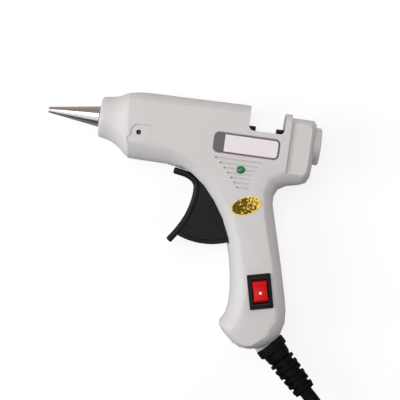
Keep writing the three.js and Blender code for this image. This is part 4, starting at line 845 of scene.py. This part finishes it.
def trigger_mesh():
    """Cheeks and hub joined to the ridge, then the pin hole, slot and dishes cut."""
    outer = arc(TRIGGER_REACH, -111, -64, 14)
    inner = arc(TRIGGER_REACH - RIM_WIDTH, -111, -64, 14)
    arm = ((0, -FORK_ARM), (FORK_FAR, -FORK_ARM), (FORK_FAR, FORK_ARM), (0, FORK_ARM))
    marks = [circle(MARK_RADIUS, 24, place) for place in MARKS]
    dishes = [circle(DISH_RADIUS, 24, place) for place in MARKS]
    plates = [
        (cheek_outline(), CHEEK_INSIDE, TRIGGER_HALF - CHEEK_SINK, 0.3),
        ([*outer, *reversed(inner)], CHEEK_INSIDE, TRIGGER_HALF, 0.4),
        (fork_turned(arm), CHEEK_INSIDE, TRIGGER_HALF - FORK_SINK, 0.3),
        (fork_outline(FORK_EYE, 10), CHEEK_INSIDE, TRIGGER_HALF, 0.3),
        *[(mark, TRIGGER_HALF - 1, TRIGGER_HALF - MARK_SINK, 0.12) for mark in marks],
    ]
    cheeks = [slab(*plate, side) for side in (1, -1) for plate in plates]
    hub_half = TRIGGER_HALF - HUB_SINK
    hub = Form().prism(circle(HUB_RADIUS, 32), -hub_half, hub_half, 0.3)
    cuts = [
        Form().prism(circle(PIN_HOLE, 28), -CUT_REACH, CUT_REACH, CUT_EDGE),
        Form().prism(fork_outline(FORK_SLOT, 8), -CUT_REACH, CUT_REACH, CUT_EDGE),
    ]
    for side in (1, -1):
        for dish in dishes:
            cuts.append(slab(dish, TRIGGER_HALF - DISH_SINK, CUT_REACH, CUT_EDGE, side))
    move = placed(*PIVOT, MID)
    for form in (hub, *cheeks, *cuts):
        form.moved(move)
    return combined("trigger_moulded", ridge_form().moved(move), [*cheeks, hub], cuts, 32)


piece("trigger_moulded", trigger_mesh(), NYLON, "trigger", "black_nylon", "trigger")

# Strain relief: flange, neck and bridged ribs over a tapered core
RELIEF_SIDES = 96
RELIEF_STEPS = 150
RELIEF_EDGE = 0.45
RIBS_FROM = 9.7
RIB_PITCH = 3.13
RIB_SHARE = 0.52
RIB_SLOPE = 0.1
BRIDGE_SHARE = 0.82
CORE_RADIUS = 4.8
CORE_TAPER = 0.75
CREST_RADIUS = 6.3
CREST_TAPER = 1.05
RELIEF_PROFILE = [
    (-5, 0.01),
    (-5, 5.6),
    (-3.5, 5.6),
    (-3.5, 4.6),
    (0.3, 4.6),
    (0.3, 7.25),
    (4.3, 7.25),
    (4.6, 6.1),
    (8.2, 5.8),
    (RIBS_FROM, CORE_RADIUS),
]


def relief_radius(x, angle):
    """Radius in the ribbed stretch: ribs all round, joined by two bridges in turn."""
    share = (x - RIBS_FROM) / (RELIEF_LENGTH - RIBS_FROM)
    core = CORE_RADIUS - CORE_TAPER * share
    crest = CREST_RADIUS - CREST_TAPER * share
    place = (x - RIBS_FROM) / RIB_PITCH
    number = int(place)
    within = place - number
    rib = smoothstep(within / RIB_SLOPE) * (1 - smoothstep((within - RIB_SHARE) / RIB_SLOPE))
    side = math.cos(2 * angle) * (1 if number % 2 else -1)
    bridge = smoothstep((side - 0.72) / 0.12) * BRIDGE_SHARE
    return core + (crest - core) * max(rib, bridge)


def relief_mesh():
    """Turned flange and neck, then rings that follow the ribs."""
    turns = [2 * math.pi * i / RELIEF_SIDES for i in range(RELIEF_SIDES)]

    def ring(x, radii):
        return [(x, r * math.cos(t), r * math.sin(t)) for r, t in zip(radii, turns)]

    profile = soften(RELIEF_PROFILE, RELIEF_EDGE, 4, closed=False)
    rings = [ring(x, [r] * RELIEF_SIDES) for x, r in profile]
    for i in range(1, RELIEF_STEPS + 1):
        x = RIBS_FROM + (RELIEF_LENGTH - 0.02 - RIBS_FROM) * i / RELIEF_STEPS
        rings.append(ring(x, [relief_radius(x, t) for t in turns]))
    rings.append(ring(RELIEF_LENGTH, [CORD_RADIUS] * RELIEF_SIDES))
    place = placed(*GLAND.xy, MID, math.degrees(GLAND_ANGLE))
    return Form().skin(rings).moved(place).mesh("relief_ribbed", 40)


piece("relief_ribbed", relief_mesh(), CORD_BLACK, "housing", "cord_black", "strain_relief")

# Switch: bevelled bezel with its well, and the rocker
BEZEL_HEIGHT = 2.0

# Width, height, corner and level of the bezel's rings: up its body, over its rim, down its well
BEZEL_LEVELS = [
    (8.8, 13.4, 0.3, -10.0),
    (8.8, 13.4, 0.3, -0.02),
    (10.8, 16.1, 0.5, 0.0),
    (11.0, 16.3, 0.6, 0.12),
    (11.0, 16.3, 0.6, 0.4),
    (10.86, 16.16, 0.6, 0.62),
    (8.95, 14.25, 0.5, 1.82),
    (8.7, 14.0, 0.5, 1.96),
    (8.4, 13.7, 0.5, BEZEL_HEIGHT),
    (7.75, 11.25, 0.45, BEZEL_HEIGHT),
    (7.5, 11.0, 0.4, 1.93),
    (7.35, 10.85, 0.4, 1.7),
    (7.3, 10.8, 0.3, -4.6),
]


def switch_mesh():
    """Bezel and well in one skin."""
    rings = []
    for x, y, corner, z in BEZEL_LEVELS:
        rings.append([(p.x, p.y, z) for p in rounded_rectangle(x, y, corner, 5)])
    place = placed(*SWITCH[:2], SWITCH[2] + GAP / 2, SWITCH_TILT)
    return Form().skin(rings).moved(place).mesh("switch_bezel", 30)


ROCKER_RADIUS = 5.1
ROCKER_HALF = 3.35
ROCKER_EDGE = 0.4
ROCKER_PIVOT = 1.6
ROCKER_PRESS = 8.0
ROCKER_CROWN = 1.1
ROCKER_VALLEY = 0.5
ROCKER_BELLY = 1.8
HORN_RADIUS = 0.5
HORN_INSET = 0.42
HORN_HEIGHT = 2.2


def rocker_placed():
    """From the rocker's own frame to its rest, pressed in at its top end."""
    height = SWITCH[2] + BEZEL_HEIGHT - ROCKER_PIVOT
    press = Matrix.Rotation(math.radians(-ROCKER_PRESS), 4, "X")
    return placed(*SWITCH[:2], height, SWITCH_TILT) @ press


def rocker_mesh():
    """Part of a drum, with a shallow valley between two horns on top."""
    crown = math.degrees(math.asin((ROCKER_CROWN + ROCKER_PIVOT) / ROCKER_RADIUS))
    belly = math.degrees(math.asin(ROCKER_BELLY / ROCKER_RADIUS))
    horn = ROCKER_RADIUS * math.cos(math.radians(crown)) - HORN_INSET
    low = ROCKER_VALLEY + ROCKER_PIVOT
    valley = [Vector((x, low + abs(x) ** 1.3 * 0.066)) for x in range(3, -4, -1)]
    outline = [
        *arc(ROCKER_RADIUS, -belly, crown - 6, 10),
        *arc(HORN_RADIUS, 20, 85, 4, (horn, HORN_HEIGHT)),
        *valley,
        *arc(HORN_RADIUS, 95, 160, 4, (-horn, HORN_HEIGHT)),
        *arc(ROCKER_RADIUS, 186 - crown, 180 + belly, 10),
    ]
    form = Form().prism(outline, -ROCKER_HALF, ROCKER_HALF, ROCKER_EDGE)
    upright = Matrix(((0, 0, 1, 0), (1, 0, 0, 0), (0, 1, 0, 0), (0, 0, 0, 1)))
    return form.moved(rocker_placed() @ upright).mesh("rocker_moulded", 40)


piece("switch_bezel", switch_mesh(), SWITCH_BLACK, "housing", "black_nylon", "switch_body")
piece("rocker_moulded", rocker_mesh(), ROCKER_RED, "rocker", "switch_red", "switch_rocker")

# Indicator lamp: domed lens on a flange
LAMP = (0.659 * HOUSING_LENGTH, -0.163 * GRIP_DROP)
LENS_RADIUS = 1.5
LENS_FOOT = -4.3
LENS_RIM = 0.05
LENS_RISE = 0.95
LENS_EDGE = 0.15
FLANGE_RADIUS = 1.9
FLANGE_LOW = -2.6
FLANGE_HIGH = -2.1


def lamp_mesh():
    """Lens turned about its axis, stood up at its place."""
    profile = soften(
        [
            (LENS_FOOT, 0.01),
            (LENS_FOOT, LENS_RADIUS),
            (FLANGE_LOW, LENS_RADIUS),
            (FLANGE_LOW, FLANGE_RADIUS),
            (FLANGE_HIGH, FLANGE_RADIUS),
            (FLANGE_HIGH, LENS_RADIUS),
            (LENS_RIM, LENS_RADIUS),
        ],
        LENS_EDGE,
        closed=False,
    )
    climb = [math.radians(9 * k) for k in range(1, 10)]
    dome = [(LENS_RIM + LENS_RISE * math.sin(a), LENS_RADIUS * math.cos(a)) for a in climb]
    form = Form().lathe([*profile, *dome, (LENS_RIM + LENS_RISE, 0.01)], 40)
    upright = Matrix.Rotation(-math.pi / 2, 4, "Y")
    return form.moved(upright).moved(placed(*LAMP, THICKNESS)).mesh("lamp_dome", 40)


piece("lamp_dome", lamp_mesh(), LENS, "housing", "green_lens", "lamp_lens")

# Return spring: wound wire with closed ends, built at one length and riding on the housing
SPRING_WIRE = 0.35
SPRING_TURNS = 8
SPRING_CLOSED = 0.8


def wound_spring():
    """Adds the spring, from its fixed front end to the carriage."""
    low, high = (Vector(corner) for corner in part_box("return_spring"))
    middle = (low + high) / 2
    wire = SPRING_WIRE * MM
    radius = (high.z - low.z) / 2 - wire
    start, end = low.x + wire, high.x - wire
    steps = SPRING_TURNS * STEPS_PER_TURN
    path = []
    for i in range(steps + 1):
        turn = SPRING_TURNS * i / steps
        share = (turn - SPRING_CLOSED) / (SPRING_TURNS - 2 * SPRING_CLOSED)
        share = min(max(share, 0), 1)
        angle = 2 * math.pi * turn
        coil = Vector((0, radius * math.cos(angle), radius * math.sin(angle)))
        path.append(Vector((start + (end - start) * share, middle.y, middle.z)) + coil)
    mesh = tube_mesh("spring_wound", path, wire)
    spring = piece("spring_wound", mesh, STEEL, "housing", "steel", "return_spring")
    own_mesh(spring)


wound_spring()

# Plug: rounded body with grip ribs, drawn in to a ribbed tail
PLUG_FRONT = 12.0
PLUG_LENGTH = 38.0
PLUG_STEPS = 152

# Width, height and corner of its sections
PLUG_BODY = (23, 14, 2.6)
PLUG_TAIL = (9.2, 9.2, 4.59)

# Places and sizes along it
WAIST_FROM = 13
WAIST_LENGTH = 13
PLUG_RIBS_FROM = 5
PLUG_RIBS_TO = 14
PLUG_RIBS_FADE = 1.5
PLUG_RIB_PITCH = 2.4
PLUG_RIB_DEPTH = 1.1
NOTCHES_FROM = 27
NOTCH_PITCH = 2.75
NOTCH_DEPTH = 1.5

# Length and inset of its rounded ends
PLUG_FRONT_EDGE = (1.4, 1.5)
PLUG_REAR_EDGE = (0.8, 1.2)


def plug_section(along):
    """Width, height and corner of the plug's section at a distance from its face."""
    waist = smoothstep((along - WAIST_FROM) / WAIST_LENGTH)
    width, height, corner = (a + (b - a) * waist for a, b in zip(PLUG_BODY, PLUG_TAIL))
    starts = smoothstep((along - PLUG_RIBS_FROM) / PLUG_RIBS_FADE)
    ends = 1 - smoothstep((along - PLUG_RIBS_TO) / PLUG_RIBS_FADE)
    wave = 0.5 + 0.5 * math.cos(2 * math.pi * (along - PLUG_RIBS_FROM) / PLUG_RIB_PITCH)
    width -= starts * ends * PLUG_RIB_DEPTH * wave**0.6
    if along > NOTCHES_FROM:
        wave = math.cos(2 * math.pi * (along - NOTCHES_FROM) / NOTCH_PITCH)
        notch = smoothstep((wave + 0.2) / 0.5) * NOTCH_DEPTH
        width, height, corner = width - notch, height - notch, corner - notch / 2
    length, inset = PLUG_FRONT_EDGE
    front = (1 - smoothstep(along / length)) * inset
    length, inset = PLUG_REAR_EDGE
    rear = smoothstep((along - PLUG_LENGTH + length) / length) * inset
    return width - front - rear, height - front - rear, corner - rear / 2


def plug_mesh():
    """A skin through the sections, from the face to the cord."""
    rings = []
    for k in range(PLUG_STEPS + 1):
        along = PLUG_LENGTH * k / PLUG_STEPS
        width, height, corner = plug_section(along)
        section = rounded_rectangle(width, height, min(corner, height / 2 - 0.01), 6)
        x = PLUG_FRONT + along
        rings.append([(x, PLUG_END.y + p.x, PLUG_END.z + p.y) for p in section])
    return Form().skin(rings).mesh("plug_moulded", 45)


piece("plug_moulded", plug_mesh(), CORD_BLACK, "housing", "cord_black", "plug_body")

# Floor, lamps and world
WHITE = (1, 1, 1, 1)
FLOOR_HALF = 300.0
FLOOR_DROP = 0.2
CARD_DARK = (0.06, 0.06, 0.06, 1)
CARD_WARM = (0.3, 0.25, 0.235, 1)

# What metal sees round it, from the side below the gun in the picture to the one above it
STUDIO_TONES = [
    (0.0, (0.08, 0.08, 0.08, 1)),
    (0.08, (0.08, 0.08, 0.08, 1)),
    (0.15, WHITE),
    (0.6, WHITE),
    (0.72, (0.36, 0.3, 0.28, 1)),
    (1.0, (0.36, 0.3, 0.28, 1)),
]


def floor_material():
    """White to the camera but for shadows, and two cards to what mirrors it."""
    look = Shader("floor", (0.86, 0.86, 0.86), 0.9)
    look.mottle(look.noise(3, 2), (0.99, 0.99, 0.99))
    rays = look.new("LightPath").outputs
    white = look.new("Emission", {"Color": WHITE, "Strength": 1.07})
    open_sky = look.new("AmbientOcclusion", {"Distance": 0.012}, samples=8).outputs["AO"]
    seen = look.math("MULTIPLY", rays["Is Camera Ray"], look.ramp(open_sky, 0.06, 0.3))
    seen = look.math("MULTIPLY", seen, 0.78)
    lit = look.new("MixShader", {0: seen, 1: look.body.outputs[0], 2: white.outputs[0]})
    incoming = look.new("NewGeometry").outputs["Incoming"]
    away = look.new("SeparateXYZ", {"Vector": incoming}).outputs["Y"]
    cards = {"Factor": look.ramp(away, 0.2, -0.2), 6: CARD_DARK, 7: CARD_WARM}
    card = look.new("Mix", cards, data_type="RGBA").outputs[2]
    dim = look.new("Emission", {"Color": card, "Strength": 1.0})
    mirrored = look.math("MULTIPLY", rays["Is Glossy Ray"], 0.8)
    mix = look.new("MixShader", {0: mirrored, 1: lit.outputs[0], 2: dim.outputs[0]})
    look.links.new(mix.outputs[0], look.nodes["Material Output"].inputs["Surface"])
    return look.material


floor_mesh = bpy.data.meshes.new("floor")
grid = bmesh.new()
bmesh.ops.create_grid(grid, x_segments=1, y_segments=1, size=FLOOR_HALF * MM)
grid.to_mesh(floor_mesh)
grid.free()
floor = add("floor", floor_mesh, floor_material())
middle_x, middle_y = ((CAD_BOX[0][i] + CAD_BOX[1][i]) / 2 for i in (0, 1))
floor.location = (middle_x, middle_y, -FLOOR_DROP * MM)


def lamp(name, place, size, power, color=(1, 1, 1)):
    """A round soft lamp that faces the origin."""
    data = bpy.data.lights.new(name, "AREA")
    data.shape = "DISK"
    data.size = size
    data.energy = power
    data.color = color
    obj = bpy.data.objects.new(name, data)
    obj.location = place
    obj.rotation_euler = (-Vector(place)).to_track_quat("-Z", "Y").to_euler()
    bpy.context.scene.collection.objects.link(obj)


lamp("key", (-0.95, -0.15, 0.65), 0.6, 8.5)
lamp("fill", (-0.35, 0.3, 1.25), 0.8, 5.8)
lamp("rim", (0.5, 0.8, 0.45), 0.5, 2.5, (1, 0.88, 0.86))


def studio_world():
    """Even light, a white backdrop for the camera, and a graded studio for what mirrors it."""
    world = bpy.data.worlds.new("world")
    world.use_nodes = True
    nodes, links = world.node_tree.nodes, world.node_tree.links
    nodes.remove(nodes["Background"])

    def background(strength, color=WHITE):
        node = nodes.new("ShaderNodeBackground")
        node.inputs["Color"].default_value = color
        node.inputs["Strength"].default_value = strength
        return node

    tones = nodes.new("ShaderNodeValToRGB")
    stops = tones.color_ramp.elements
    stops[0].position, stops[0].color = STUDIO_TONES[0]
    stops[1].position, stops[1].color = STUDIO_TONES[-1]
    for position, color in STUDIO_TONES[1:-1]:
        stops.new(position).color = color
    heading = nodes.new("ShaderNodeSeparateXYZ")
    share = nodes.new("ShaderNodeMapRange")
    share.inputs["From Min"].default_value = -1
    mirrored = background(0.9)
    links.new(nodes.new("ShaderNodeTexCoord").outputs["Generated"], heading.inputs[0])
    links.new(heading.outputs["Y"], share.inputs["Value"])
    links.new(share.outputs[0], tones.inputs[0])
    links.new(tones.outputs[0], mirrored.inputs["Color"])
    rays = nodes.new("ShaderNodeLightPath").outputs
    source = background(0.26, (1, 0.99, 0.985, 1)).outputs[0]
    for kind, other in (("Is Glossy Ray", mirrored), ("Is Camera Ray", background(1))):
        either = nodes.new("ShaderNodeMixShader")
        links.new(rays[kind], either.inputs[0])
        links.new(source, either.inputs[1])
        links.new(other.outputs[0], either.inputs[2])
        source = either.outputs[0]
    links.new(source, nodes["World Output"].inputs["Surface"])
    return world


bpy.context.scene.world = studio_world()
bpy.context.scene.view_settings.view_transform = "Standard"
